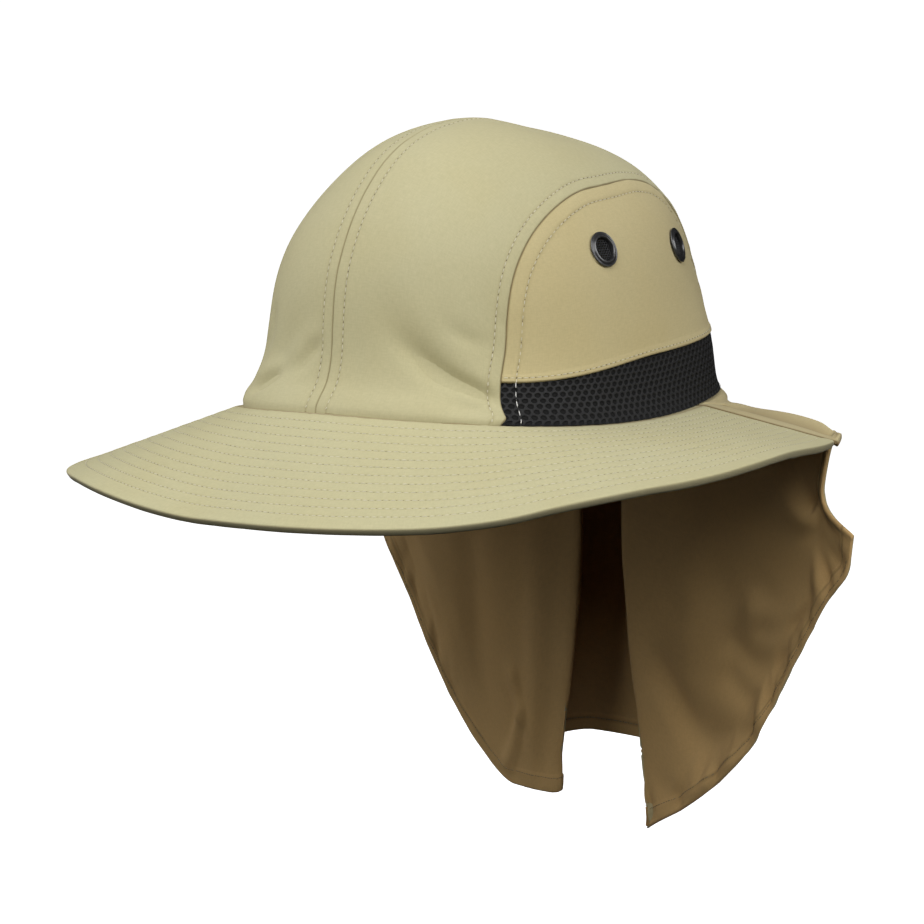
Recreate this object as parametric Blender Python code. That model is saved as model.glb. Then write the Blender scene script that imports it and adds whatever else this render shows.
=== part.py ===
"""Sun hat with a stitched brim, mesh side vents and a hanging neck cape.

Metres, +Z up.  The hat faces -Y and +X is the wearer's left.  The origin is the
centre of the head opening, on the base line where the crown is sewn to the brim.
Every cloth piece is a closed wall of its own, with a small gap to its neighbours.
"""

from collections import namedtuple

import bpy
import numpy as np
from mathutils import Matrix, Vector

MM = 0.001

# Cloth walls and the gap that keeps sewn neighbours apart.
CLOTH = 1.2 * MM
MESH_CLOTH = 1.6 * MM
CAPE_CLOTH = 1.2 * MM
GAP = 0.3 * MM

# Crown, measured on its outer face just above the flared base.
CROWN_HALF_WIDTH = 76.5 * MM
CROWN_FRONT = 87.0 * MM
CROWN_BACK = 100.0 * MM
CROWN_HEIGHT = 108.0 * MM
PLAN_SQUARENESS = 2.3
PROFILE_SQUARENESS = 2.7
TOP_SHIFT_BACK = 14.0 * MM
TOP_SLOPE = 0.107
BASE_FLARE = 7.0 * MM
FLARE_RISE = 8.0 * MM

# The base line is not flat: it arches over the sides and rises to the back.
BASE_ARCH = 3.4 * MM
BASE_REAR_LIFT = 2.6 * MM
BASE_FADE = 29.0 * MM

# The arch seam lies this far inside the crown's widest place, and a little further
# over the top, where the tall strip between the side panels narrows.
SEAM_INSET = 16.0 * MM
STRIP_TAPER = 15.0 * MM
STRIP_TAPER_POWER = 6.0
LEG_TOP = np.radians(42.0)

# Black mesh vent under each side panel.
BAND_FRONT_HEIGHT = 15.0 * MM
BAND_REAR_HEIGHT = 23.0 * MM

# Eyelets: a flange outside, a barrel through the cloth and a washer inside.
EYELET_RADIUS = 7.0 * MM
EYELET_BORE_RADIUS = 4.6 * MM
EYELET_BARREL_WALL = 0.6 * MM
EYELET_FLANGE = 1.1 * MM
EYELET_BELOW_ARCH = 26.2 * MM
EYELET_SPACING = 55.0 * MM
EYELET_SHIFT_BACK = 13.3 * MM
EYELET_SIDES = 20

# Brim.
BRIM_WIDTH = 72.0 * MM
BRIM_THICKNESS = 2.6 * MM
BRIM_SEAM_LEDGE = 1.5 * MM
REAR_AZIMUTH = 118.0

# Neck cape.
CAPE_HALF_WIDTH = 120.0 * MM
CAPE_DEPTH = 110.0 * MM
CAPE_DROP = 180.0 * MM
CAPE_SEAM_LEDGE = 3.0 * MM
CAPE_ROWS = 15

CROWN_COLUMNS = 7
SIDE_COLUMNS = 16
SIDE_ROWS = 8
BAND_ROWS = 3
BRIM_COLUMNS = 56
BRIM_ROWS = 6

# Soft hollows and swellings of the crown.  Angles are in degrees: azimuth runs from
# the front toward the wearer's left, elevation from the base line up.  Depth is a
# share of the crown height, and a negative depth swells outward.
Dent = namedtuple("Dent", "azimuth elevation reach_along reach_across turn depth")
CROWN_DENTS = (
    Dent(-42, 50, 20, 18, 0, 0.018),
    Dent(0, 82, 16, 12, 0, -0.010),
    Dent(-24, 11, 15, 4, 40, 0.022),
    Dent(-31, 6, 15, 4, 40, -0.016),
    Dent(30, 13, 14, 4, -38, 0.018),
    Dent(36, 18, 14, 4, -38, -0.010),
)

# Brim sections from the wearer's right rear, over the front, to the left rear.
# Width is a share of BRIM_WIDTH, droop is the slope in degrees.
BrimSection = namedtuple("BrimSection", "azimuth width droop")
BRIM_SECTIONS = (
    BrimSection(-118, 0.79, 7),
    BrimSection(-90, 0.95, 12),
    BrimSection(-60, 1.02, 19),
    BrimSection(-30, 1.00, 21),
    BrimSection(0, 0.97, 30),
    BrimSection(30, 1.02, 26),
    BrimSection(60, 1.03, 12),
    BrimSection(90, 0.93, 7),
    BrimSection(118, 0.79, 12),
)

# Ribs of one cape half, from the free side edge to the centre back.  Column is the
# place across the cloth, seam the place along the sewn edge.  The x shares are of
# CAPE_HALF_WIDTH, the y shares of CAPE_DEPTH and the z shares of CAPE_DROP.  Hem_right
# is the hem's z share on the wearer's right.
CapeRib = namedtuple(
    "CapeRib",
    "column steps seam ridge_x ridge_y ridge_z neck_x neck_y neck_z"
    " hem_x hem_y hem_z hem_right",
)
CAPE_RIBS = (
    CapeRib(0.00, 2, 0.00, 1.01, 0.71, 0.085, 0.950, 0.710, 0.187, 1.060, 0.71, 0.275, 0.275),
    CapeRib(0.06, 2, 0.04, 0.97, 0.71, 0.070, 0.925, 0.712, 0.205, 1.035, 0.71, 0.375, 0.380),
    CapeRib(0.14, 3, 0.11, 0.92, 0.72, 0.048, 0.885, 0.715, 0.230, 0.955, 0.71, 0.460, 0.470),
    CapeRib(0.26, 3, 0.23, 0.78, 0.73, 0.034, 0.780, 0.715, 0.235, 0.815, 0.71, 0.632, 0.635),
    CapeRib(0.38, 3, 0.37, 0.61, 0.73, 0.028, 0.610, 0.718, 0.235, 0.625, 0.71, 0.832, 0.830),
    CapeRib(0.50, 4, 0.52, 0.50, 0.76, 0.025, 0.430, 0.718, 0.240, 0.390, 0.71, 0.965, 0.968),
    CapeRib(0.64, 1, 0.68, 0.38, 0.89, 0.030, 0.120, 0.712, 0.250, 0.230, 0.72, 1.022, 0.975),
    CapeRib(0.67, 1, 0.72, 0.34, 0.91, 0.030, 0.092, 0.728, 0.250, 0.192, 0.735, 1.022, 0.970),
    CapeRib(0.70, 3, 0.76, 0.31, 0.93, 0.030, 0.125, 0.755, 0.250, 0.225, 0.76, 1.005, 0.952),
    CapeRib(0.82, 2, 0.85, 0.27, 0.96, 0.030, 0.370, 0.900, 0.240, 0.385, 0.89, 0.910, 0.880),
    CapeRib(0.91, 2, 0.92, 0.15, 1.01, 0.028, 0.210, 0.985, 0.235, 0.220, 0.975, 0.865, 0.845),
    CapeRib(1.00, 0, 1.00, 0.00, 1.03, 0.028, 0.000, 1.015, 0.235, 0.000, 1.000, 0.850, 0.850),
)
CAPE_STATIONS = (0.0, 0.05, 0.17, 0.33, 1.0)

Finish = namedtuple("Finish", "name color metallic roughness")
TAN_CLOTH = Finish("tan_cloth", (0.42, 0.37, 0.20, 1.0), 0.0, 0.85)
CAPE_FABRIC = Finish("cape_cloth", (0.30, 0.25, 0.13, 1.0), 0.0, 0.85)
BLACK_MESH = Finish("black_mesh", (0.02, 0.02, 0.02, 1.0), 0.0, 0.80)
BLACK_ENAMEL = Finish("black_enamel", (0.015, 0.015, 0.015, 1.0), 0.6, 0.30)


def clear_scene():
    """Remove every object, so that a second run starts empty."""
    for thing in list(bpy.data.objects):
        bpy.data.objects.remove(thing, do_unlink=True)


def unit(vectors):
    """Scale vectors on the last axis to length one."""
    return vectors / np.linalg.norm(vectors, axis=-1, keepdims=True)


def row_slopes(places, values):
    """Slopes at each row that let a curve pass through without overshooting."""
    spans = np.diff(places)
    spans = spans.reshape((-1,) + (1,) * (values.ndim - 1))
    rises = np.diff(values, axis=0) / spans
    before, after = rises[:-1], rises[1:]
    same_way = before * after > 0
    total = np.where(same_way, before + after, 1.0)
    inner = np.where(same_way, 2 * before * after / total, 0.0)
    return np.concatenate([rises[:1], inner, rises[-1:]])


def smooth_rows(places, values, wanted):
    """Pass a smooth curve through rows of values and read it at the wanted places."""
    places = np.asarray(places, dtype=float)
    values = np.asarray(values, dtype=float)
    wanted = np.asarray(wanted, dtype=float)
    slopes = row_slopes(places, values)
    row = np.clip(np.searchsorted(places, wanted, side="right") - 1, 0, len(places) - 2)
    span = places[row + 1] - places[row]
    t = (wanted - places[row]) / span
    if values.ndim > 1:
        t = t[..., None]
        span = span[..., None]
    keep = 2 * t**3 - 3 * t**2 + 1
    reach = -2 * t**3 + 3 * t**2
    leave = t**3 - 2 * t**2 + t
    arrive = t**3 - t**2
    ends = keep * values[row] + reach * values[row + 1]
    return ends + span * (leave * slopes[row] + arrive * slopes[row + 1])


def bisect(function, low, high, steps=40):
    """Find where a rising function crosses zero, for a whole array at once."""
    low = np.array(low, dtype=float)
    high = np.array(high, dtype=float)
    for _ in range(steps):
        middle = (low + high) / 2
        above = function(middle) > 0
        high = np.where(above, middle, high)
        low = np.where(above, low, middle)
    return (low + high) / 2


def side_direction(azimuth, elevation):
    """Direction from the origin by azimuth from the front and elevation."""
    flat = np.cos(elevation)
    return np.stack(
        [flat * np.sin(azimuth), -flat * np.cos(azimuth), np.sin(elevation)], axis=-1
    )


def strip_direction(travel, lean):
    """Direction by travel from front over the top to back, and lean to the left."""
    flat = np.cos(lean)
    return np.stack(
        [np.sin(lean), -flat * np.cos(travel), flat * np.sin(travel)], axis=-1
    )


def dent_depth(azimuth, elevation):
    """Sum of the crown's dents at a place, in metres."""
    total = np.zeros_like(elevation)
    for dent in CROWN_DENTS:
        turn = np.radians(dent.turn)
        east = (np.degrees(azimuth) - dent.azimuth + 180) % 360 - 180
        east = east * np.cos(np.radians(dent.elevation))
        north = np.degrees(elevation) - dent.elevation
        along = (east * np.cos(turn) + north * np.sin(turn)) / dent.reach_along
        across = (north * np.cos(turn) - east * np.sin(turn)) / dent.reach_across
        total = total + dent.depth * np.exp(-(along**2) - across**2)
    return total * CROWN_HEIGHT


def base_height(azimuth):
    """Height of the base line above the origin's plane."""
    return BASE_ARCH * np.cos(2 * azimuth) - BASE_REAR_LIFT * np.cos(azimuth)


def crown_point(direction):
    """Point of the crown's outer face in a direction from the origin."""
    x, y, z = direction[..., 0], direction[..., 1], direction[..., 2]
    azimuth = np.arctan2(x, -y)
    elevation = np.arctan2(z, np.hypot(x, y))
    half_length = np.where(y < 0, CROWN_FRONT, CROWN_BACK)
    plan = np.abs(x / CROWN_HALF_WIDTH) ** PLAN_SQUARENESS
    plan = (plan + np.abs(y / half_length) ** PLAN_SQUARENESS) ** (1 / PLAN_SQUARENESS)
    rise = np.abs(z / CROWN_HEIGHT)
    reach = (plan**PROFILE_SQUARENESS + rise**PROFILE_SQUARENESS) ** (
        -1 / PROFILE_SQUARENESS
    )
    reach = reach - dent_depth(azimuth, elevation)
    point = direction * reach[..., None]
    height = point[..., 2]
    share = height / CROWN_HEIGHT
    flare = 1 + BASE_FLARE / CROWN_HALF_WIDTH * np.exp(-height / FLARE_RISE)
    lift = base_height(azimuth) * np.exp(-height / BASE_FADE)
    depth = point[..., 1] * flare
    return np.stack(
        [
            point[..., 0] * flare,
            depth + TOP_SHIFT_BACK * share**2,
            height - TOP_SLOPE * depth * share**2 + lift,
        ],
        axis=-1,
    )


def crown_normal(direction):
    """Outward normal of the crown's outer face in a direction."""
    step = 1e-4
    helper = np.zeros_like(direction)
    helper[..., 0] = 1.0
    first = unit(np.cross(direction, helper + 1e-9))
    second = np.cross(direction, first)
    along = crown_point(unit(direction + step * first)) - crown_point(
        unit(direction - step * first)
    )
    across = crown_point(unit(direction + step * second)) - crown_point(
        unit(direction - step * second)
    )
    normal = unit(np.cross(along, across))
    facing = np.sign(np.sum(normal * direction, axis=-1, keepdims=True))
    return normal * facing


def base_point(azimuth):
    """Point of the crown's outer face on the base line."""
    return crown_point(side_direction(azimuth, np.zeros_like(azimuth)))


def base_normal(azimuth):
    """Level outward normal of the base line."""
    step = 1e-4
    along = base_point(azimuth + step) - base_point(azimuth - step)
    normal = np.stack([along[..., 1], -along[..., 0], np.zeros_like(azimuth)], axis=-1)
    facing = np.sign(np.sum(normal * base_point(azimuth), axis=-1, keepdims=True))
    return unit(normal) * facing


def seam_lean(travel):
    """Lean angle of the arch seam, where the strip reaches its half width."""

    def beyond(lean):
        point = crown_point(strip_direction(travel, lean))
        height = np.clip(point[..., 2] / CROWN_HEIGHT, 0, None)
        flare = BASE_FLARE * np.exp(-np.clip(point[..., 2], 0, None) / FLARE_RISE)
        width = CROWN_HALF_WIDTH - SEAM_INSET + flare - STRIP_TAPER * height**STRIP_TAPER_POWER
        return point[..., 0] - width

    return bisect(beyond, np.zeros_like(travel), np.full_like(travel, np.radians(88)))


def seam_angles(travel):
    """Azimuth and elevation of the arch seam by its travel from the front."""
    direction = strip_direction(travel, seam_lean(travel))
    azimuth = np.arctan2(direction[..., 0], -direction[..., 1])
    elevation = np.arctan2(
        direction[..., 2], np.hypot(direction[..., 0], direction[..., 1])
    )
    return np.stack([azimuth, elevation], axis=-1)


def leg_travel(height, rear):
    """Travel at which the arch seam's front or rear leg is this high above the base."""

    def above(travel):
        shown = np.pi - travel if rear else travel
        angles = seam_angles(shown)
        point = crown_point(side_direction(angles[..., 0], angles[..., 1]))
        return point[..., 2] - base_height(angles[..., 0]) - height

    travel = bisect(above, np.zeros(1), np.full(1, LEG_TOP))[0]
    return np.pi - travel if rear else travel


def seam_travels():
    """Travels along the arch seam, in the runs that its neighbours share."""
    front_band = leg_travel(BAND_FRONT_HEIGHT, rear=False)
    rear_band = leg_travel(BAND_REAR_HEIGHT, rear=True)
    return (
        np.linspace(0, front_band, BAND_ROWS + 1),
        np.linspace(front_band, LEG_TOP, SIDE_ROWS + 1),
        np.linspace(LEG_TOP, np.pi - LEG_TOP, SIDE_COLUMNS + 1),
        np.linspace(np.pi - LEG_TOP, rear_band, SIDE_ROWS + 1),
        np.linspace(rear_band, np.pi, BAND_ROWS + 1),
    )


def blend_patch(bottom, top, left, right):
    """Fill the space between four edge curves that share their corners."""
    rows = len(left)
    columns = len(bottom)
    up = np.linspace(0, 1, rows)[:, None, None]
    along = np.linspace(0, 1, columns)[None, :, None]
    ruled = (1 - up) * bottom[None] + up * top[None]
    ruled = ruled + (1 - along) * left[:, None] + along * right[:, None]
    corners = (1 - up) * ((1 - along) * bottom[0] + along * bottom[-1])
    corners = corners + up * ((1 - along) * top[0] + along * top[-1])
    return ruled - corners


def pull_in(grid, normals, edges, distance):
    """Move the named edges of a grid inward along the cloth by a distance."""
    moved = grid.copy()
    inward = {
        "bottom": (0, 0, 1),
        "top": (0, -1, -2),
        "start": (1, 0, 1),
        "end": (1, -1, -2),
    }
    for edge in edges:
        axis, outer, inner = inward[edge]
        pick = (outer, slice(None)) if axis == 0 else (slice(None), outer)
        near = (inner, slice(None)) if axis == 0 else (slice(None), inner)
        along = unit(np.gradient(grid[pick], axis=0))
        across = unit(np.cross(normals[pick], along))
        toward = np.sum(across * (grid[near] - grid[pick]), axis=-1, keepdims=True)
        moved[pick] = moved[pick] + across * np.sign(toward) * distance
    return moved


def grid_normals(grid):
    """Normals of a point grid from its neighbours."""
    return unit(np.cross(np.gradient(grid, axis=1), np.gradient(grid, axis=0)))


def wall_faces(rows, columns):
    """Faces of a closed wall: a front grid, a back grid and the rim between them."""
    index = np.arange(rows * columns).reshape(rows, columns)
    back = index + rows * columns
    faces = []
    for row in range(rows - 1):
        for column in range(columns - 1):
            here, right = index[row, column], index[row, column + 1]
            above, across = index[row + 1, column], index[row + 1, column + 1]
            faces.append((here, right, across, above))
            shift = rows * columns
            faces.append((above + shift, across + shift, right + shift, here + shift))
    ring = list(index[0, :]) + list(index[1:, -1])
    ring = ring + list(index[-1, -2::-1]) + list(index[-2:0:-1, 0])
    ring_back = list(back[0, :]) + list(back[1:, -1])
    ring_back = ring_back + list(back[-1, -2::-1]) + list(back[-2:0:-1, 0])
    for step in range(len(ring)):
        after = (step + 1) % len(ring)
        faces.append((ring[step], ring_back[step], ring_back[after], ring[after]))
    return [tuple(int(corner) for corner in face) for face in faces]


def add_mesh(name, points, faces, finish):
    """Make one named object with its own material, smooth but for its sharp rims."""
    mesh = bpy.data.meshes.new(name)
    mesh.from_pydata([tuple(map(float, point)) for point in points], [], faces)
    mesh.update()
    thing = bpy.data.objects.new(name, mesh)
    bpy.context.scene.collection.objects.link(thing)
    mesh.polygons.foreach_set("use_smooth", [True] * len(mesh.polygons))
    mesh.set_sharp_from_angle(angle=np.radians(50))
    material = bpy.data.materials.new(name + "_" + finish.name)
    material.use_nodes = True
    shader = material.node_tree.nodes["Principled BSDF"]
    shader.inputs["Base Color"].default_value = finish.color
    shader.inputs["Metallic"].default_value = finish.metallic
    shader.inputs["Roughness"].default_value = finish.roughness
    mesh.materials.append(material)
    return thing


def add_wall(name, outer, normals, thickness, finish):
    """Make a cloth wall from its outer face, its normals and its thickness."""
    inner = outer - normals * thickness
    facing = np.sum(grid_normals(outer) * normals)
    if facing < 0:
        outer = outer[:, ::-1]
        inner = inner[:, ::-1]
    rows, columns = outer.shape[:2]
    points = np.concatenate([outer.reshape(-1, 3), inner.reshape(-1, 3)])
    return add_mesh(name, points, wall_faces(rows, columns), finish)


def level_base_row(normals, azimuth, row):
    """Turn the wall level along a base row, so that its rim stands flat."""
    flat = normals.copy()
    flat[row] = base_normal(azimuth)
    return flat


def crown_panel(name, side):
    """Half of the tall strip: from the centre seam to one arch seam."""
    runs = seam_travels()
    travel = np.concatenate([runs[0]] + [run[1:] for run in runs[1:]])
    lean = seam_lean(travel)
    across = np.linspace(0, 1, CROWN_COLUMNS + 1)
    direction = strip_direction(
        np.repeat(travel[:, None], CROWN_COLUMNS + 1, axis=1),
        side * lean[:, None] * across[None, :],
    )
    outer = crown_point(direction)
    normals = crown_normal(direction)
    azimuth = np.arctan2(direction[..., 0], -direction[..., 1])
    normals = level_base_row(normals, azimuth[0], 0)
    normals = level_base_row(normals, azimuth[-1], -1)
    outer = pull_in(outer, normals, ("start", "end"), GAP / 2)
    return add_wall(name, outer, normals, CLOTH, TAN_CLOTH)


def band_top_angles(azimuth, share):
    """Azimuth and elevation of the mesh band's top edge."""
    ease = np.clip(share / 0.6, 0, 1)
    ease = ease * ease * (3 - 2 * ease)
    height = BAND_FRONT_HEIGHT + (BAND_REAR_HEIGHT - BAND_FRONT_HEIGHT) * ease

    def above(elevation):
        point = crown_point(side_direction(azimuth, elevation))
        return point[..., 2] - base_height(azimuth) - height

    low = np.zeros_like(azimuth)
    elevation = bisect(above, low, np.full_like(azimuth, np.radians(45)))
    return np.stack([azimuth, elevation], axis=-1)


def side_patches():
    """Angle grids of one side: the mesh band and the arched panel above it."""
    runs = [seam_angles(run) for run in seam_travels()]
    low_front, high_front, arch = runs[0], runs[1], runs[2]
    high_rear, low_rear = runs[3][::-1], runs[4][::-1]
    share = np.linspace(0, 1, SIDE_COLUMNS + 1)
    base_azimuth = low_front[0, 0] + (low_rear[0, 0] - low_front[0, 0]) * share
    base = np.stack([base_azimuth, np.zeros_like(share)], axis=-1)
    top_azimuth = low_front[-1, 0] + (low_rear[-1, 0] - low_front[-1, 0]) * share
    band_top = band_top_angles(top_azimuth, share)
    band_top[0] = low_front[-1]
    band_top[-1] = low_rear[-1]
    band = blend_patch(base, band_top, low_front, low_rear)
    panel = blend_patch(band_top, arch, high_front, high_rear)
    return band, panel


def eyelet_frame(side, step):
    """Place and outward normal of an eyelet: step is -1 in front and +1 behind."""
    angles = seam_angles(np.array([0.0, np.pi / 2, np.pi]))
    front, top, rear = crown_point(side_direction(angles[:, 0], angles[:, 1]))
    target_z = top[2] - EYELET_BELOW_ARCH
    middle = (front[1] + rear[1]) / 2 + EYELET_SHIFT_BACK
    target_y = middle + step * EYELET_SPACING / 2
    direction = unit(np.array([CROWN_HALF_WIDTH * side, target_y, target_z]))
    for _ in range(60):
        point = crown_point(direction)
        miss = np.array([0.0, target_y - point[1], target_z - point[2]])
        direction = unit(direction + miss / np.linalg.norm(point))
    return crown_point(direction), crown_normal(direction)


def cut_round_hole(panel, centre, normal, radius):
    """Cut a straight round hole through a wall and keep it one closed body."""
    turn = Vector(normal).to_track_quat("Z", "Y").to_matrix().to_4x4()
    place = Matrix.Translation(Vector(centre)) @ turn
    half_depth = 4 * CLOTH
    angles = np.linspace(0, 2 * np.pi, EYELET_SIDES, endpoint=False)
    ring = [(radius * np.cos(a), radius * np.sin(a)) for a in angles]
    points = [place @ Vector((x, y, -half_depth)) for x, y in ring]
    points = points + [place @ Vector((x, y, half_depth)) for x, y in ring]
    count = EYELET_SIDES
    faces = [tuple(range(count - 1, -1, -1)), tuple(range(count, 2 * count))]
    for step in range(count):
        after = (step + 1) % count
        faces.append((step, after, after + count, step + count))
    mesh = bpy.data.meshes.new("hole_cutter")
    mesh.from_pydata([tuple(point) for point in points], [], faces)
    cutter = bpy.data.objects.new("hole_cutter", mesh)
    bpy.context.scene.collection.objects.link(cutter)
    cut = panel.modifiers.new("eyelet_hole", "BOOLEAN")
    cut.operation = "DIFFERENCE"
    cut.solver = "EXACT"
    cut.object = cutter
    bpy.context.view_layer.update()
    evaluated = panel.evaluated_get(bpy.context.evaluated_depsgraph_get())
    result = bpy.data.meshes.new_from_object(evaluated)
    panel.modifiers.clear()
    old = panel.data
    result.name = old.name
    panel.data = result
    bpy.data.meshes.remove(old)
    bpy.data.objects.remove(cutter, do_unlink=True)
    bpy.data.meshes.remove(mesh)
    panel.data.set_sharp_from_angle(angle=np.radians(50))


def side_pieces(word, side):
    """The mesh band, the arched panel and the two eyelets of one side."""
    band, panel = side_patches()
    pieces = []
    for name, angles, wall, finish, is_base in (
        ("mesh_band_" + word, band, MESH_CLOTH, BLACK_MESH, True),
        ("side_panel_" + word, panel, CLOTH, TAN_CLOTH, False),
    ):
        azimuth = side * angles[..., 0]
        direction = side_direction(azimuth, angles[..., 1])
        outer = crown_point(direction)
        normals = crown_normal(direction)
        edges = ["top", "start", "end"]
        if is_base:
            normals = level_base_row(normals, azimuth[0], 0)
        else:
            edges.append("bottom")
        outer = pull_in(outer, normals, edges, GAP / 2)
        pieces.append(add_wall(name, outer, normals, wall, finish))
    barrel = EYELET_BORE_RADIUS + EYELET_BARREL_WALL
    for place, step in (("front", -1), ("rear", 1)):
        centre, normal = eyelet_frame(side, step)
        cut_round_hole(pieces[1], centre, normal, barrel + GAP)
        pieces.append(eyelet("eyelet_" + word + "_" + place, centre, normal))
    return pieces


def eyelet(name, centre, normal):
    """Turned eyelet whose flange and washer hold the cloth between them."""
    bore = EYELET_BORE_RADIUS
    barrel = bore + EYELET_BARREL_WALL
    sag = EYELET_RADIUS**2 / (2 * CROWN_HALF_WIDTH)
    above = GAP
    below = -(CLOTH + GAP + 1.5 * sag)
    crest = above + EYELET_FLANGE
    profile = (
        (bore, below - 0.5 * EYELET_FLANGE),
        (EYELET_RADIUS, below - 0.5 * EYELET_FLANGE),
        (EYELET_RADIUS, below),
        (barrel, below),
        (barrel, above),
        (EYELET_RADIUS, above),
        (EYELET_RADIUS - 0.2 * EYELET_FLANGE, above + 0.6 * EYELET_FLANGE),
        (0.55 * EYELET_RADIUS + 0.45 * bore, crest),
        (bore + 0.3 * EYELET_FLANGE, above + 0.7 * EYELET_FLANGE),
        (bore, above),
    )
    turn = Vector(normal).to_track_quat("Z", "Y").to_matrix()
    points = []
    for step in range(EYELET_SIDES):
        angle = 2 * np.pi * step / EYELET_SIDES
        for radius, height in profile:
            spot = Vector((radius * np.cos(angle), radius * np.sin(angle), height))
            points.append(Vector(centre) + turn @ spot)
    count = len(profile)
    faces = []
    for step in range(EYELET_SIDES):
        after = (step + 1) % EYELET_SIDES
        for corner in range(count):
            beside = (corner + 1) % count
            faces.append(
                (
                    step * count + corner,
                    after * count + corner,
                    after * count + beside,
                    step * count + beside,
                )
            )
    return add_mesh(name, points, faces, BLACK_ENAMEL)


def brim_point(azimuth_degrees, share):
    """Point of the brim's upper face, by azimuth and share of its width."""
    sections = BRIM_SECTIONS
    places = [section.azimuth for section in sections]
    width = BRIM_WIDTH * smooth_rows(
        places, [section.width for section in sections], azimuth_degrees
    )
    droop = np.radians(
        smooth_rows(places, [section.droop for section in sections], azimuth_degrees)
    )
    azimuth = np.radians(azimuth_degrees)
    outward = base_normal(azimuth)
    start = base_point(azimuth) - np.array([0.0, 0.0, GAP])
    run = share * width
    ledge = np.clip(run, -CLOTH, BRIM_SEAM_LEDGE)
    slope = run - ledge
    level = ledge + slope * np.cos(droop)
    drop = slope * np.sin(droop)
    return start + outward * level[..., None] - np.stack(
        [np.zeros_like(drop), np.zeros_like(drop), drop], axis=-1
    )


def brim(name):
    """The stitched brim, from one rear corner round the front to the other."""
    azimuth = np.linspace(-REAR_AZIMUTH, REAR_AZIMUTH, BRIM_COLUMNS + 1)
    seam = -MESH_CLOTH / BRIM_WIDTH
    ledge = BRIM_SEAM_LEDGE / BRIM_WIDTH
    shares = np.concatenate([[seam], np.linspace(ledge, 1, BRIM_ROWS)])
    grid = brim_point(azimuth[None, :] + 0 * shares[:, None], shares[:, None] + 0 * azimuth)
    normals = grid_normals(grid)
    if np.sum(normals[..., 2]) < 0:
        normals = -normals
    return add_wall(name, grid, normals, BRIM_THICKNESS, TAN_CLOTH)


def cape_seam(share, side):
    """Point of the cape's sewn edge and the way the cloth leaves it."""
    azimuth = np.array(side * REAR_AZIMUTH)
    inner_share = -MESH_CLOTH / BRIM_WIDTH
    corner = brim_point(azimuth, np.array(1.0))
    inner = brim_point(azimuth, np.array(inner_share))
    edge_length = np.linalg.norm(corner - inner)
    start = np.radians(REAR_AZIMUTH)
    arc = base_point(side * np.linspace(start, np.pi, 30))
    arc_length = np.sum(np.linalg.norm(np.diff(arc, axis=0), axis=1))
    turn_share = edge_length / (edge_length + arc_length)
    sink = np.array([0.0, 0.0, CAPE_CLOTH / 2])
    across = unit(np.cross(corner - inner, np.array([0.0, 0.0, -side])))
    if share < turn_share:
        out = 1.0 + (inner_share - 1.0) * share / turn_share
        edge = brim_point(azimuth, np.array(out))
        return edge + across * GAP * 1.2 - sink, across
    travel = (share - turn_share) / (1 - turn_share)
    clear = 3 * GAP / CROWN_HALF_WIDTH
    azimuth = np.array(side * (start + clear + (np.pi - start - clear) * travel))
    away = base_normal(azimuth)
    spot = base_point(azimuth) - np.array([0.0, 0.0, GAP]) - away * MESH_CLOTH
    near_turn = np.clip(1 - travel / 0.12, 0, 1)
    return spot - sink, unit(away + across * near_turn)


def rib_points(rib, side):
    """The ridge, neck and hem of one cape rib on one side of the hat."""
    hem_z = rib.hem_right if side < 0 else rib.hem_z
    scale = np.array([side * CAPE_HALF_WIDTH, CAPE_DEPTH, -CAPE_DROP])
    ridge = np.array([rib.ridge_x, rib.ridge_y, rib.ridge_z]) * scale
    neck = np.array([rib.neck_x, rib.neck_y, rib.neck_z]) * scale
    hem = np.array([rib.hem_x, rib.hem_y, hem_z]) * scale
    return np.array([ridge, neck, hem])


def cape_columns():
    """Places across the whole cape: each rib, with its steps to the next."""
    places = []
    for rib, after in zip(CAPE_RIBS[:-1], CAPE_RIBS[1:]):
        places.extend(np.linspace(rib.column, after.column, rib.steps, endpoint=False))
    places = np.array(places + [1.0])
    return np.concatenate([places, 2.0 - places[-2::-1]])


def cape_stations(places):
    """Each column's stations: sewn edge, ledge, ridge, neck and hem."""
    left = [rib_points(rib, 1) for rib in CAPE_RIBS]
    right = [rib_points(rib, -1) for rib in CAPE_RIBS]
    half = [rib.column for rib in CAPE_RIBS]
    columns = np.array(half + [2.0 - place for place in half[-2::-1]])
    hanging = smooth_rows(columns, np.array(left + right[-2::-1]).reshape(-1, 9), places)
    seams = smooth_rows(half, [rib.seam for rib in CAPE_RIBS], 1 - np.abs(1 - places))
    stations = []
    for place, seam, lower in zip(places, seams, hanging.reshape(-1, 3, 3)):
        edge, away = cape_seam(seam, 1 if place <= 1.0 else -1)
        ledge = edge + away * CAPE_SEAM_LEDGE
        stations.append([edge, ledge, *lower])
    return np.array(stations)


def neck_cape(name):
    """The cape: two hanging wings with a deep pleat between them at the back."""
    share = np.linspace(0, 1, CAPE_ROWS + 1)
    down = 0.35 * share + 0.65 * share**2
    down[1] = CAPE_STATIONS[1]
    stations = cape_stations(cape_columns())
    grid = np.array([smooth_rows(CAPE_STATIONS, strand, down) for strand in stations])
    grid = grid.transpose(1, 0, 2)
    normals = grid_normals(grid)
    if normals[-1, grid.shape[1] // 2, 1] < 0:
        normals = -normals
    outer = grid + normals * CAPE_CLOTH / 2
    return add_wall(name, outer, normals, CAPE_CLOTH, CAPE_FABRIC)


def main():
    """Build the hat in the order in which it is sewn."""
    clear_scene()
    crown_panel("crown_panel_left", 1)
    crown_panel("crown_panel_right", -1)
    side_pieces("left", 1)
    side_pieces("right", -1)
    brim("brim")
    neck_cape("neck_cape")


if __name__ == "__main__":
    main()
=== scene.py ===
"""Dresses the sun hat: sewn crown, stitched brim, mesh vents, eyelets and neck cape.

Metres, +Z up.  The hat faces -Y and +X is the wearer's left.
"""

import logging
import math
from collections.abc import Callable, Sequence
from dataclasses import dataclass, replace
from enum import Enum
from functools import cached_property

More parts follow.
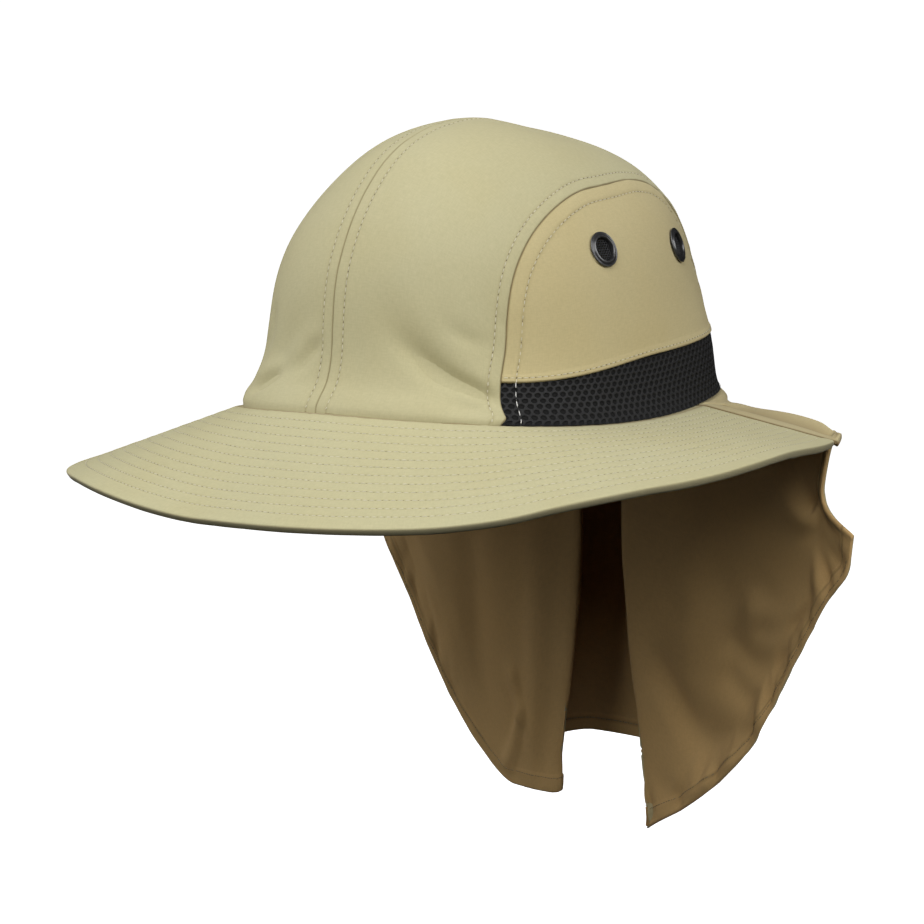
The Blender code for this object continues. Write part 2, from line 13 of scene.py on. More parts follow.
import bmesh
import bpy
import numpy as np
from mathutils import Matrix, Vector


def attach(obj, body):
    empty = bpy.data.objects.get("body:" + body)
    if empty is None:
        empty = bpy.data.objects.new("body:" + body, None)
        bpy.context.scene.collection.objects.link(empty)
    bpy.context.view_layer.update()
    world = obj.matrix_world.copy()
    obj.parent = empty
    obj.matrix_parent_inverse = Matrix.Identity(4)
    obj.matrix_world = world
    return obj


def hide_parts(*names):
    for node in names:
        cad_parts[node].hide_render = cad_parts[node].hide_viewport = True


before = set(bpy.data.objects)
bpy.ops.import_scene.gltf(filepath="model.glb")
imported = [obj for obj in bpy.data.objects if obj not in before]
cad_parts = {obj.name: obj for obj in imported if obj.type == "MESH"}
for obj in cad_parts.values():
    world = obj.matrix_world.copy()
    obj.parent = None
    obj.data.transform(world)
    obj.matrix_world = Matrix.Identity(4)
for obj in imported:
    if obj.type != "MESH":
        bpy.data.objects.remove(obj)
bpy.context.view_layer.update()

LOG = logging.getLogger("sun_hat")
MM = 0.001
SHARP_ANGLE = math.radians(75)
# The brim's rows are measured in millimetres of a brim this wide.
ROWS_WIDTH = 70.0
Array = np.ndarray
Row = tuple[Array, Array]
Colour = tuple[float, float, float]
Material = bpy.types.Material
Piece = bpy.types.Object
Socket = bpy.types.NodeSocket


class Side(Enum):
    """The wearer's two sides, by the sign of X."""

    LEFT = 1
    RIGHT = -1

    @property
    def word(self) -> str:
        """The side's name as the pieces carry it."""
        return self.name.lower()


class Slot(Enum):
    """Material slots of the record."""

    TAN = "tan_cloth"
    CAPE = "cape_cloth"
    MESH = "black_mesh"
    ENAMEL = "black_enamel"


def unit(vectors: Array) -> Array:
    """Scale vectors on the last axis to length one."""
    return vectors / np.linalg.norm(vectors, axis=-1, keepdims=True)


def lengths_along(points: Array) -> Array:
    """Length walked along the first axis of a row of points, from zero."""
    steps = np.linalg.norm(np.diff(points, axis=0), axis=-1)
    return np.concatenate([np.zeros((1,) + steps.shape[1:]), np.cumsum(steps, axis=0)])


def smooth_rows(places: Sequence[float], values: Array, wanted: Array) -> Array:
    """Pass a smooth curve through rows of values without overshooting.

    Args:
        places: Rising places of the rows.
        values: One value or one point for each place.
        wanted: Places to read the curve at.

    Returns:
        The curve's values at the wanted places.
    """
    places, values = np.asarray(places, float), np.asarray(values, float)
    wanted = np.asarray(wanted, float)
    spans = np.diff(places).reshape((-1,) + (1,) * (values.ndim - 1))
    rises = np.diff(values, axis=0) / spans
    before, after = rises[:-1], rises[1:]
    same_way = before * after > 0
    inner = np.where(
        same_way, 2 * before * after / np.where(same_way, before + after, 1.0), 0.0
    )
    slopes = np.concatenate([rises[:1], inner, rises[-1:]])
    row = np.clip(np.searchsorted(places, wanted, side="right") - 1, 0, len(places) - 2)
    span = places[row + 1] - places[row]
    t = (wanted - places[row]) / span
    if values.ndim > 1:
        t, span = t[..., None], span[..., None]
    ends = (2 * t**3 - 3 * t**2 + 1) * values[row] + (3 * t**2 - 2 * t**3) * values[row + 1]
    leave, arrive = t**3 - 2 * t**2 + t, t**3 - t**2
    return ends + span * (leave * slopes[row] + arrive * slopes[row + 1])


def bisect(function: Callable[[Array], Array], low: Array, high: Array) -> Array:
    """Find where a rising function crosses zero, for a whole array at once.

    Args:
        function: The rising function.
        low: Places below the crossing.
        high: Places above it.

    Returns:
        The crossing for each place.
    """
    low, high = np.array(low, float), np.array(high, float)
    for _ in range(36):
        middle = (low + high) / 2
        above = function(middle) > 0
        high = np.where(above, middle, high)
        low = np.where(above, low, middle)
    return (low + high) / 2


def soft_noise(u: Array, v: Array, seed: int) -> Array:
    """Smooth seeded waves from -1 to 1 that change about once in each unit.

    Args:
        u: First coordinate.
        v: Second coordinate.
        seed: Seed of the waves.

    Returns:
        The waves' height.
    """
    table = np.random.default_rng(seed).uniform(-1, 1, (97, 97))
    u, v = np.broadcast_arrays(np.asarray(u, float), np.asarray(v, float))
    cell_u, cell_v = np.floor(u).astype(int), np.floor(v).astype(int)
    ease_u = (u - cell_u) ** 2 * (3 - 2 * (u - cell_u))
    ease_v = (v - cell_v) ** 2 * (3 - 2 * (v - cell_v))
    total = np.zeros_like(u)
    for step_u, share_u in ((0, 1 - ease_u), (1, ease_u)):
        for step_v, share_v in ((0, 1 - ease_v), (1, ease_v)):
            value = table[(cell_u + step_u) % 97, (cell_v + step_v) % 97]
            total = total + value * share_u * share_v
    return total


def bell(value: Array, reach: float) -> Array:
    """Bell curve: 1 at zero, and near 0 two reaches away."""
    return np.exp(-((value / reach) ** 2))


def ease(value: Array) -> Array:
    """Smooth step from 0 to 1."""
    value = np.clip(value, 0, 1)
    return value * value * (3 - 2 * value)


def side_direction(azimuth: Array, elevation: Array) -> Array:
    """Direction by azimuth from the front toward the left, and elevation."""
    flat = np.cos(elevation)
    return np.stack([flat * np.sin(azimuth), -flat * np.cos(azimuth), np.sin(elevation)], -1)


def azimuth_of(vectors: Array) -> Array:
    """Azimuth of points or directions, from the front toward the left."""
    return np.arctan2(vectors[..., 0], -vectors[..., 1])


def strip_direction(travel: Array, lean: Array) -> Array:
    """Direction by travel from front over the top to back, and lean to the left."""
    flat = np.cos(lean)
    return np.stack([np.sin(lean), -flat * np.cos(travel), flat * np.sin(travel)], -1)


def fine_ends(length: float, ends: Sequence[float], step: float) -> Array:
    """Places along a length: the given distances from both ends, even steps between.

    Args:
        length: Whole length.
        ends: Rising distances from each end.
        step: Wanted step between the two fine ends.

    Returns:
        Rising places from the first distance to the length less that distance.
    """
    ends = np.asarray(ends)
    inner = length - 2 * ends[-1]
    count = max(2, int(round(inner / step)))
    middle = ends[-1] + inner * np.arange(1, count) / count
    return np.concatenate([ends, middle, length - ends[::-1]])


def grid_normals(grid: Array) -> Array:
    """Normals of a grid of points from its neighbours."""
    return unit(np.cross(np.gradient(grid, axis=1), np.gradient(grid, axis=0)))


def measure_to_line(points: Array, line: Array) -> tuple[Array, Array]:
    """Measure points against a line of points.

    Args:
        points: Points of any array shape.
        line: Points along the line, close together.

    Returns:
        Each point's distance from the line, and how far along the line that is.
    """
    flat = points.reshape(-1, 3)
    along = lengths_along(line)
    start, run = line[:-1], np.diff(line, axis=0)
    square = np.sum(run * run, axis=-1)
    distance, place = np.empty(len(flat)), np.empty(len(flat))
    for first in range(0, len(flat), 2000):
        away = flat[first : first + 2000, None] - start[None]
        share = np.clip(np.sum(away * run, axis=-1) / square, 0, 1)
        gap = np.linalg.norm(away - share[..., None] * run, axis=-1)
        best = np.argmin(gap, axis=1)
        row = np.arange(len(best))
        distance[first : first + 2000] = gap[row, best]
        steps = along[best] + share[row, best] * (along[best + 1] - along[best])
        place[first : first + 2000] = steps
    return distance.reshape(points.shape[:-1]), place.reshape(points.shape[:-1])


def link_piece(name: str, mesh: bpy.types.Mesh) -> Piece:
    """Put a mesh into the scene as one named object.

    Args:
        name: Name of the object.
        mesh: Its mesh.

    Returns:
        The new object.
    """
    piece = bpy.data.objects.new(name, mesh)
    bpy.context.scene.collection.objects.link(piece)
    return piece


def add_piece(name: str, points: Array, faces: list, material: Material) -> Piece:
    """Make one named object with its place in its mesh and smooth faces.

    Args:
        name: Name of the object and of its mesh.
        points: Every corner.
        faces: The corner numbers of each face.
        material: Finish of the whole object.

    Returns:
        The new object.
    """
    mesh = bpy.data.meshes.new(name)
    mesh.from_pydata(np.asarray(points, float).tolist(), [], faces)
    mesh.update()
    mesh.polygons.foreach_set("use_smooth", [True] * len(mesh.polygons))
    mesh.set_sharp_from_angle(angle=SHARP_ANGLE)
    mesh.materials.append(material)
    return link_piece(name, mesh)


def add_lines(name: str, points: Array, edges: list) -> Piece:
    """Make one named object of points and edges, for a node tree to build on.

    Args:
        name: Name of the object and of its mesh.
        points: Every point.
        edges: The two point numbers of each edge.

    Returns:
        The new object.
    """
    mesh = bpy.data.meshes.new(name)
    mesh.from_pydata(np.asarray(points, float).tolist(), edges, [])
    return link_piece(name, mesh)


def face_outward(piece: Piece) -> Piece:
    """Turn a closed piece's faces outward, and an open one's away from the hat's middle.

    Args:
        piece: The piece.

    Returns:
        The same piece.
    """
    work = bmesh.new()
    work.from_mesh(piece.data)
    bmesh.ops.recalc_face_normals(work, faces=work.faces[:])
    if any(len(edge.link_faces) == 1 for edge in work.edges):
        away = sum(face.normal.dot(face.calc_center_median()) * face.calc_area() for face in work.faces)
        if away < 0:
            bmesh.ops.reverse_faces(work, faces=work.faces[:])
    work.to_mesh(piece.data)
    work.free()
    return piece


def set_uv(mesh: bpy.types.Mesh, uv: Array, name: str = "cloth") -> None:
    """Give every corner the flat place of its vertex.

    Args:
        mesh: The mesh.
        uv: Flat place of each vertex.
        name: Name of the map.
    """
    corners = np.empty(len(mesh.loops), np.int32)
    mesh.loops.foreach_get("vertex_index", corners)
    layer = mesh.uv_layers.new(name=name)
    layer.data.foreach_set("uv", np.asarray(uv, np.float32)[corners].ravel())


def set_attribute(mesh: bpy.types.Mesh, name: str, values: Array) -> None:
    """Store a number or a vector on every vertex.

    Args:
        mesh: The mesh.
        name: Name of the value.
        values: A number or a vector for each vertex.
    """
    values = np.asarray(values, np.float32)
    if values.ndim > 1:
        mesh.attributes.new(name, "FLOAT_VECTOR", "POINT").data.foreach_set("vector", values.ravel())
    else:
        mesh.attributes.new(name, "FLOAT", "POINT").data.foreach_set("value", values)


def grid_quads(index: Array) -> Array:
    """Corner numbers of the faces between the neighbours of a grid."""
    return np.stack([index[:-1, :-1], index[:-1, 1:], index[1:, 1:], index[1:, :-1]], -1).reshape(-1, 4)


def wall_faces(rows: int, columns: int) -> list[list[int]]:
    """Faces of a closed wall: a front grid, a back grid and the rim between them.

    Args:
        rows: Rows of each grid.
        columns: Columns of each grid.

    Returns:
        The corner numbers of each face.
    """
    index = np.arange(rows * columns).reshape(rows, columns)
    front = grid_quads(index)
    back = front[:, ::-1] + rows * columns
    ring = np.concatenate([index[0], index[1:, -1], index[-1, -2::-1], index[-2:0:-1, 0]])
    after = np.roll(ring, -1)
    rim = np.stack([ring, ring + rows * columns, after + rows * columns, after], -1)
    return np.concatenate([front, back, rim]).tolist()


def cloth_wall(
    name: str,
    outer: Array,
    inner: Array,
    uv: Array,
    crease: Array,
    material: Material,
) -> Piece:
    """Make a closed cloth wall from its two faces.

    Args:
        name: Name of the piece.
        outer: Grid of points of the face that shows.
        inner: Grid of points of the face behind.
        uv: Flat place of each grid point, in metres.
        crease: Painted shade of each grid point, from 0 to 1: how deep it lies in a seam or fold.
        material: Finish of the whole wall.

    Returns:
        The new object.
    """
    if np.sum(grid_normals(outer) * (outer - inner)) < 0:
        outer, inner, uv, crease = (grid[:, ::-1] for grid in (outer, inner, uv, crease))
    rows, columns = outer.shape[:2]
    points = np.concatenate([outer.reshape(-1, 3), inner.reshape(-1, 3)])
    piece = face_outward(add_piece(name, points, wall_faces(rows, columns), material))
    set_uv(piece.data, np.tile(uv.reshape(-1, 2), (2, 1)))
    # Each grid point carries its painted shade and whether it is on the inside face.
    set_attribute(piece.data, "crease", np.tile(crease.ravel(), 2))
    set_attribute(piece.data, "inside", np.repeat([0.0, 1.0], rows * columns))
    return piece


def make_plain(piece: Piece) -> Piece:
    """Turn a piece's live modifiers into a plain mesh.

    Args:
        piece: The piece.

    Returns:
        The same piece.
    """
    view = bpy.context.evaluated_depsgraph_get()
    result = bpy.data.meshes.new_from_object(piece.evaluated_get(view))
    piece.modifiers.clear()
    old, piece.data = piece.data, result
    bpy.data.meshes.remove(old)
    return piece


def standing(centre: Array, normal: Array) -> Matrix:
    """Place at a centre, with Z along a normal."""
    turn = Vector(normal).to_track_quat("Z", "Y").to_matrix().to_4x4()
    return Matrix.Translation(Vector(centre)) @ turn


def fix_to_hat(piece: Piece, slot: Slot, *nodes: str) -> None:
    """Let a finished piece ride on the hat, and say what it stands for.

    Args:
        piece: The finished piece.
        slot: The record's material slot of the piece; not used.
        nodes: Solids that it replaces.
    """
    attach(piece, "root")
    if nodes:
        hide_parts(*nodes)
    triangles = sum(len(face.vertices) - 2 for face in piece.data.polygons)
    LOG.info("%s: %d triangles, stands for %s", piece.name, triangles, ", ".join(nodes) or "itself")


class NodeSheet:
    """Lays nodes into one tree, sets their sockets and links them."""

    def __init__(self, tree: bpy.types.NodeTree) -> None:
        """Start on a tree."""
        self.tree = tree

    def give(self, socket: Socket, value: object) -> None:
        """Link an input to another node's output, or set its value.

        Args:
            socket: The input.
            value: The output to link to it, or the value to set.
        """
        if isinstance(value, bpy.types.NodeSocket):
            self.tree.links.new(value, socket)
        else:
            socket.default_value = value

    def add(self, kind: str, sockets: dict | None = None, **settings: object) -> bpy.types.Node:
        """Add a node.

        Args:
            kind: Blender's name of the node type.
            sockets: Values or other nodes' outputs, by input name or number.
            settings: Settings of the node itself.

        Returns:
            The new node.
        """
        node = self.tree.nodes.new(kind)
        for name, value in settings.items():
            setattr(node, name, value)
        for key, value in (sockets or {}).items():
            self.give(node.inputs[key], value)
        return node

    def out(self, kind: str, sockets: dict | None = None, **settings: object) -> Socket:
        """Add a node and return its first output."""
        return self.add(kind, sockets, **settings).outputs[0]

    def math(self, operation: str, *values: object) -> Socket:
        """Add a sum on numbers and return its output."""
        return self.out("ShaderNodeMath", dict(enumerate(values)), operation=operation)

    def vector(self, operation: str, *values: object) -> Socket:
        """Add a sum on vectors and return its output."""
        return self.out("ShaderNodeVectorMath", dict(enumerate(values)), operation=operation)

    def join(self, x: object = 0.0, y: object = 0.0, z: object = 0.0) -> Socket:
        """Join three numbers into a vector."""
        return self.out("ShaderNodeCombineXYZ", {0: x, 1: y, 2: z})


class GroupSheet(NodeSheet):
    """A Geometry Nodes tree with named inputs, run once on one piece."""

    def __init__(self, name: str, seat: str, result: str, sizes: dict[str, float | int]) -> None:
        """Make the tree with its inputs and its output.

        Args:
            name: Name of the tree.
            seat: Name of the geometry that it builds on.
            result: Name of the geometry that it makes.
            sizes: The sizes it takes, by name; a whole number makes a whole-number input.
        """
        super().__init__(bpy.data.node_groups.new(name, "GeometryNodeTree"))
        face = self.tree.interface
        face.new_socket(seat, in_out="INPUT", socket_type="NodeSocketGeometry")
        self.values = {}
        for size, value in sizes.items():
            kind = "NodeSocketInt" if isinstance(value, int) else "NodeSocketFloat"
            self.values[face.new_socket(size, in_out="INPUT", socket_type=kind).identifier] = value
        face.new_socket(result, in_out="OUTPUT", socket_type="NodeSocketGeometry")
        self.given = self.add("NodeGroupInput").outputs

    def stored(self, name: str, kind: str) -> Socket:
        """Read a value that is stored on the geometry."""
        return self.out("GeometryNodeInputNamedAttribute", {"Name": name}, data_type=kind)

    def end(self, geometry: Socket, *finishes: dict[str, object]) -> None:
        """End the tree: make instances real and set the finishes.

        Args:
            geometry: What the tree has made.
            finishes: Inputs of each Set Material node, in order.
        """
        real = self.out("GeometryNodeRealizeInstances", {"Geometry": geometry})
        for finish in finishes:
            real = self.out("GeometryNodeSetMaterial", {"Geometry": real, **finish})
        self.add("NodeGroupOutput", {0: real})

    def run_on(self, piece: Piece) -> Piece:
        """Run the tree on a piece and keep the result as a plain mesh.

        Args:
            piece: The piece to build on.

        Returns:
            The same piece with its new mesh.
        """
        rule = piece.modifiers.new(self.tree.name, "NODES")
        rule.node_group = self.tree
        for key, value in self.values.items():
            rule[key] = value
        return make_plain(piece)


class ShaderSheet(NodeSheet):
    """A material's tree, with its shader ready."""

    def __init__(self, name: str, colour: Colour) -> None:
        """Make a new material with a plain shader.

        Args:
            name: Name of the material.
            colour: Colour of the material in a plain view.
        """
        self.material = bpy.data.materials.new(name)
        self.material.use_nodes = True
        self.material.diffuse_color = (*colour, 1.0)
        super().__init__(self.material.node_tree)
        self.shader = self.tree.nodes["Principled BSDF"]

    def mix(self, share: object, first: object, second: object, blend: str = "MIX") -> Socket:
        """Blend two colours and return the result."""
        sockets = {0: share, 6: first, 7: second}
        return self.add("ShaderNodeMix", sockets, data_type="RGBA", blend_type=blend).outputs[2]

    def attribute(self, name: str) -> Socket:
        """Read a number that is stored on the mesh."""
        return self.add("ShaderNodeAttribute", attribute_name=name).outputs["Fac"]

    def place(self) -> Socket:
        """Place in the piece's own coordinates."""
        return self.add("ShaderNodeTexCoord").outputs["Object"]

    def spread(self, value: object, low: float, high: float) -> Socket:
        """Stretch a number so that low becomes 0 and high becomes 1."""
        return self.out("ShaderNodeMapRange", {0: value, 1: low, 2: high}, clamp=True)

    def noise(self, place: object, scale: float, detail: float = 2.0) -> Socket:
        """Noise from 0 to 1 at a place."""
        sockets = {"Vector": place, "Scale": scale, "Detail": detail}
        return self.out("ShaderNodeTexNoise", sockets)

    def bump(self, height: object, distance: float, strength: float) -> None:
        """Raise the surface by a height."""
        sockets = {"Strength": strength, "Distance": distance, "Height": height}
        self.plug("Normal", self.out("ShaderNodeBump", sockets))

    def plug(self, name: str, value: object) -> None:
        """Set or link one of the shader's sockets."""
        self.give(self.shader.inputs[name], value)


@dataclass(frozen=True)
class ClothFinish:
    """Woven cotton: crossing threads, uneven yarn, faint blotches, painted shade in seams and folds, painted
    warm bounce light inside.
    """

    name: str
    colour: Colour
    # Colour of the painted shade in seams, stitch rows, folds and edges.
    crease_colour: Colour
    # Tint of the inside face: painted warm bounce light and shade.
    inside_tint: Colour = (1.0, 1.0, 1.0)
    thread: float = 0.55 * MM
    slub: float = 5.0
    weave_height: float = 0.06 * MM
    unevenness: float = 0.06
    roughness: float = 0.86

    def material(self) -> Material:
        """Build the finish on the piece's own flat cloth map.

        Returns:
            The new material.
        """
        sheet = ShaderSheet(self.name, self.colour)
        flat = sheet.out("ShaderNodeUVMap", uv_map="cloth")
        place = sheet.place()
        yarns = []
        for along, across in ((1.0, self.slub), (self.slub, 1.0)):
            scale = (1 / (self.thread * along), 1 / (self.thread * across), 1.0)
            yarns.append(sheet.noise(sheet.vector("MULTIPLY", flat, scale), 1.0))
        uneven = sheet.math("MULTIPLY", sheet.math("ADD", *yarns), 0.5)
        turns = 2 * math.pi / self.thread
        parts = sheet.add("ShaderNodeSeparateXYZ", {0: flat})
        waves = [
            sheet.math("SINE", sheet.math("MULTIPLY", parts.outputs[axis], turns))
            for axis in (0, 1)
        ]
        weave = sheet.math("MULTIPLY", *waves)
        tone = sheet.spread(uneven, 0.32, 0.68)
        tone = sheet.math("MULTIPLY_ADD", weave, 0.14, tone)
        dark = tuple(c * (1 - self.unevenness) for c in self.colour)
        light = tuple(min(1.0, c * (1 + self.unevenness)) for c in self.colour)
        colour = sheet.mix(tone, (*dark, 1), (*light, 1))
        blotch = sheet.spread(sheet.noise(place, 26.0, 3.0), 0.30, 0.75)
        warm = (0.98, 0.96, 0.91, 1)
        colour = sheet.mix(blotch, colour, sheet.mix(1.0, colour, warm, "MULTIPLY"))
        # Painted warm bounce light and shade on the inside face.
        bounce_lit = sheet.mix(1.0, colour, (*self.inside_tint, 1), "MULTIPLY")
        colour = sheet.mix(sheet.attribute("inside"), colour, bounce_lit)
        # Painted shade in seams, stitch rows, folds and edges, by the stored painted shade.
        colour = sheet.mix(sheet.attribute("crease"), colour, (*self.crease_colour, 1))
        sheet.plug("Base Color", colour)
        rough = sheet.math("MULTIPLY_ADD", uneven, 0.10, self.roughness - 0.05)
        sheet.plug("Roughness", rough)
        sheet.plug("Specular IOR Level", 0.22)
        sheet.plug("Sheen Weight", 0.06)
        sheet.plug("Sheen Roughness", 0.6)
        height = sheet.math("MULTIPLY_ADD", weave, 0.35, uneven)
        sheet.bump(height, self.weave_height, 0.55)
        return sheet.material


@dataclass(frozen=True)
class ThreadFinish:
    """Sewing thread with a fine twist."""

    name: str
    colour: Colour
    twist: float = 0.5 * MM

    def material(self) -> Material:
        """Build the finish on Object coordinates.

        Returns:
            The new material.
        """
        sheet = ShaderSheet(self.name, self.colour)
        place = sheet.place()
        fibre = sheet.noise(place, 1 / self.twist)
        dark = tuple(c * 0.78 for c in self.colour)
        sheet.plug("Base Color", sheet.mix(fibre, (*dark, 1), (*self.colour, 1)))
        sheet.plug("Roughness", sheet.math("MULTIPLY_ADD", fibre, 0.2, 0.5))
        sheet.bump(fibre, 0.08 * MM, 0.5)
        return sheet.material


@dataclass(frozen=True)
class KnitFinish:
    """Black knitted mesh: matt strands with a faint sheen and fuzz."""

    name: str
    colour: Colour
    strand: float = 0.45 * MM
    roughness: float = 0.62

    def material(self) -> Material:
        """Build the finish on Object coordinates.

        Returns:
            The new material.
        """
        sheet = ShaderSheet(self.name, self.colour)
        place = sheet.place()
        fuzz = sheet.noise(place, 1 / self.strand, 3.0)
        dark = tuple(c * 0.6 for c in self.colour)
        light = tuple(c * 1.5 for c in self.colour)
        sheet.plug("Base Color", sheet.mix(sheet.spread(fuzz, 0.3, 0.7), (*dark, 1), (*light, 1)))
        sheet.plug("Roughness", sheet.math("MULTIPLY_ADD", fuzz, 0.25, self.roughness - 0.1))
        sheet.plug("Specular IOR Level", 0.35)
        sheet.bump(fuzz, 0.15 * MM, 0.6)
        return sheet.material


@dataclass(frozen=True)
class EnamelFinish:
    """Glossy black enamel on metal, slightly uneven."""

    name: str
    colour: Colour = (0.022, 0.022, 0.023)
    gloss: float = 0.24

    def material(self) -> Material:
        """Build the finish on Object coordinates.

        Returns:
            The new material.
        """
        sheet = ShaderSheet(self.name, self.colour)
        place = sheet.place()
        flow = sheet.noise(place, 900.0, 2.0)
        worn = tuple(c * 2.0 for c in self.colour)
        sheet.plug("Base Color", sheet.mix(sheet.spread(flow, 0.5, 0.9), (*self.colour, 1), (*worn, 1)))
        sheet.plug("Roughness", sheet.math("MULTIPLY_ADD", flow, 0.12, self.gloss))
        sheet.plug("Specular IOR Level", 0.7)
        sheet.plug("Coat Weight", 0.6)
        sheet.plug("Coat Roughness", 0.08)
        sheet.bump(flow, 0.03 * MM, 0.3)
        return sheet.material


@dataclass(frozen=True)
class StudioFinish:
    """Pale matt surface that shines a little by itself."""

    name: str
    colour: Colour = (0.95, 0.95, 0.95)
    glow: float = 0.9

    def material(self) -> Material:
        """Build the finish.

        Returns:
            The new material.
        """
        sheet = ShaderSheet(self.name, self.colour)
        sheet.plug("Base Color", (*self.colour, 1))
        sheet.plug("Roughness", 1.0)
        sheet.plug("Specular IOR Level", 0.0)
        sheet.plug("Emission Color", (1, 1, 1, 1))
        sheet.plug("Emission Strength", self.glow)
        return sheet.material


class Wardrobe:
    """All finishes of the hat, built once."""

    def __init__(self) -> None:
        """Build every finish."""
        # Each cloth's second colour is its painted shade.
        self.crown = ClothFinish("tan_crown_cloth", (0.470, 0.436, 0.262), (0.20, 0.145, 0.06)).material()
        self.side = ClothFinish("tan_side_cloth", (0.515, 0.440, 0.240), (0.20, 0.145, 0.06)).material()
        self.brim = ClothFinish("tan_brim_cloth", (0.470, 0.441, 0.265), (0.26, 0.20, 0.10)).material()
        # The cape's inside face gets a painted warm tint for bounce light and shade.
        self.cape = ClothFinish(
            "cape_cloth", (0.470, 0.400, 0.225), (0.20, 0.14, 0.06), inside_tint=(1.25, 0.96, 0.72)
        ).material()
        self.net = KnitFinish("black_mesh_net", (0.011, 0.011, 0.0115)).material()
        self.backing = KnitFinish("black_mesh_back", (0.004, 0.004, 0.004), 0.8 * MM, 0.9).material()
        self.enamel = EnamelFinish("black_enamel").material()
        self.screen = KnitFinish("eyelet_screen_wire", (0.016, 0.016, 0.017), 0.3 * MM, 0.4).material()
        self.tan_thread = ThreadFinish("tan_thread", (0.66, 0.62, 0.46)).material()
        self.cape_thread = ThreadFinish("cape_thread", (0.33, 0.245, 0.12)).material()
        self.white_thread = ThreadFinish("white_thread", (0.80, 0.79, 0.76)).material()
        # Flat dark ovals between the stitches: painted shade of the needle holes.
        self.needle_hole = ThreadFinish("needle_hole", (0.11, 0.08, 0.035)).material()


@dataclass(frozen=True)
class Dent:
    """A soft hollow of the crown, or a swelling where the depth is negative.

    Angles are degrees: azimuth from the front toward the left, elevation from the
    base line up.  Depth is a share of the crown's height.
    """

    azimuth: float
    elevation: float
    reach_along: float
    reach_across: float
    turn: float
    depth: float


@dataclass(frozen=True)
class Swell:
    """A broad swelling of the crown on both sides, or a hollow below zero height."""

    azimuth: float
    elevation: float
    height: float
    reach_along: float = 22.0
    reach_across: float = 13.0


@dataclass(frozen=True)
class CrownFold:
    """A sharp fold of the crown cloth: a valley with a ridge above it.

    The ends are azimuth and elevation in degrees; the sizes are in metres.
    """

    start: tuple[float, float]
    end: tuple[float, float]
    depth: float
    reach: float


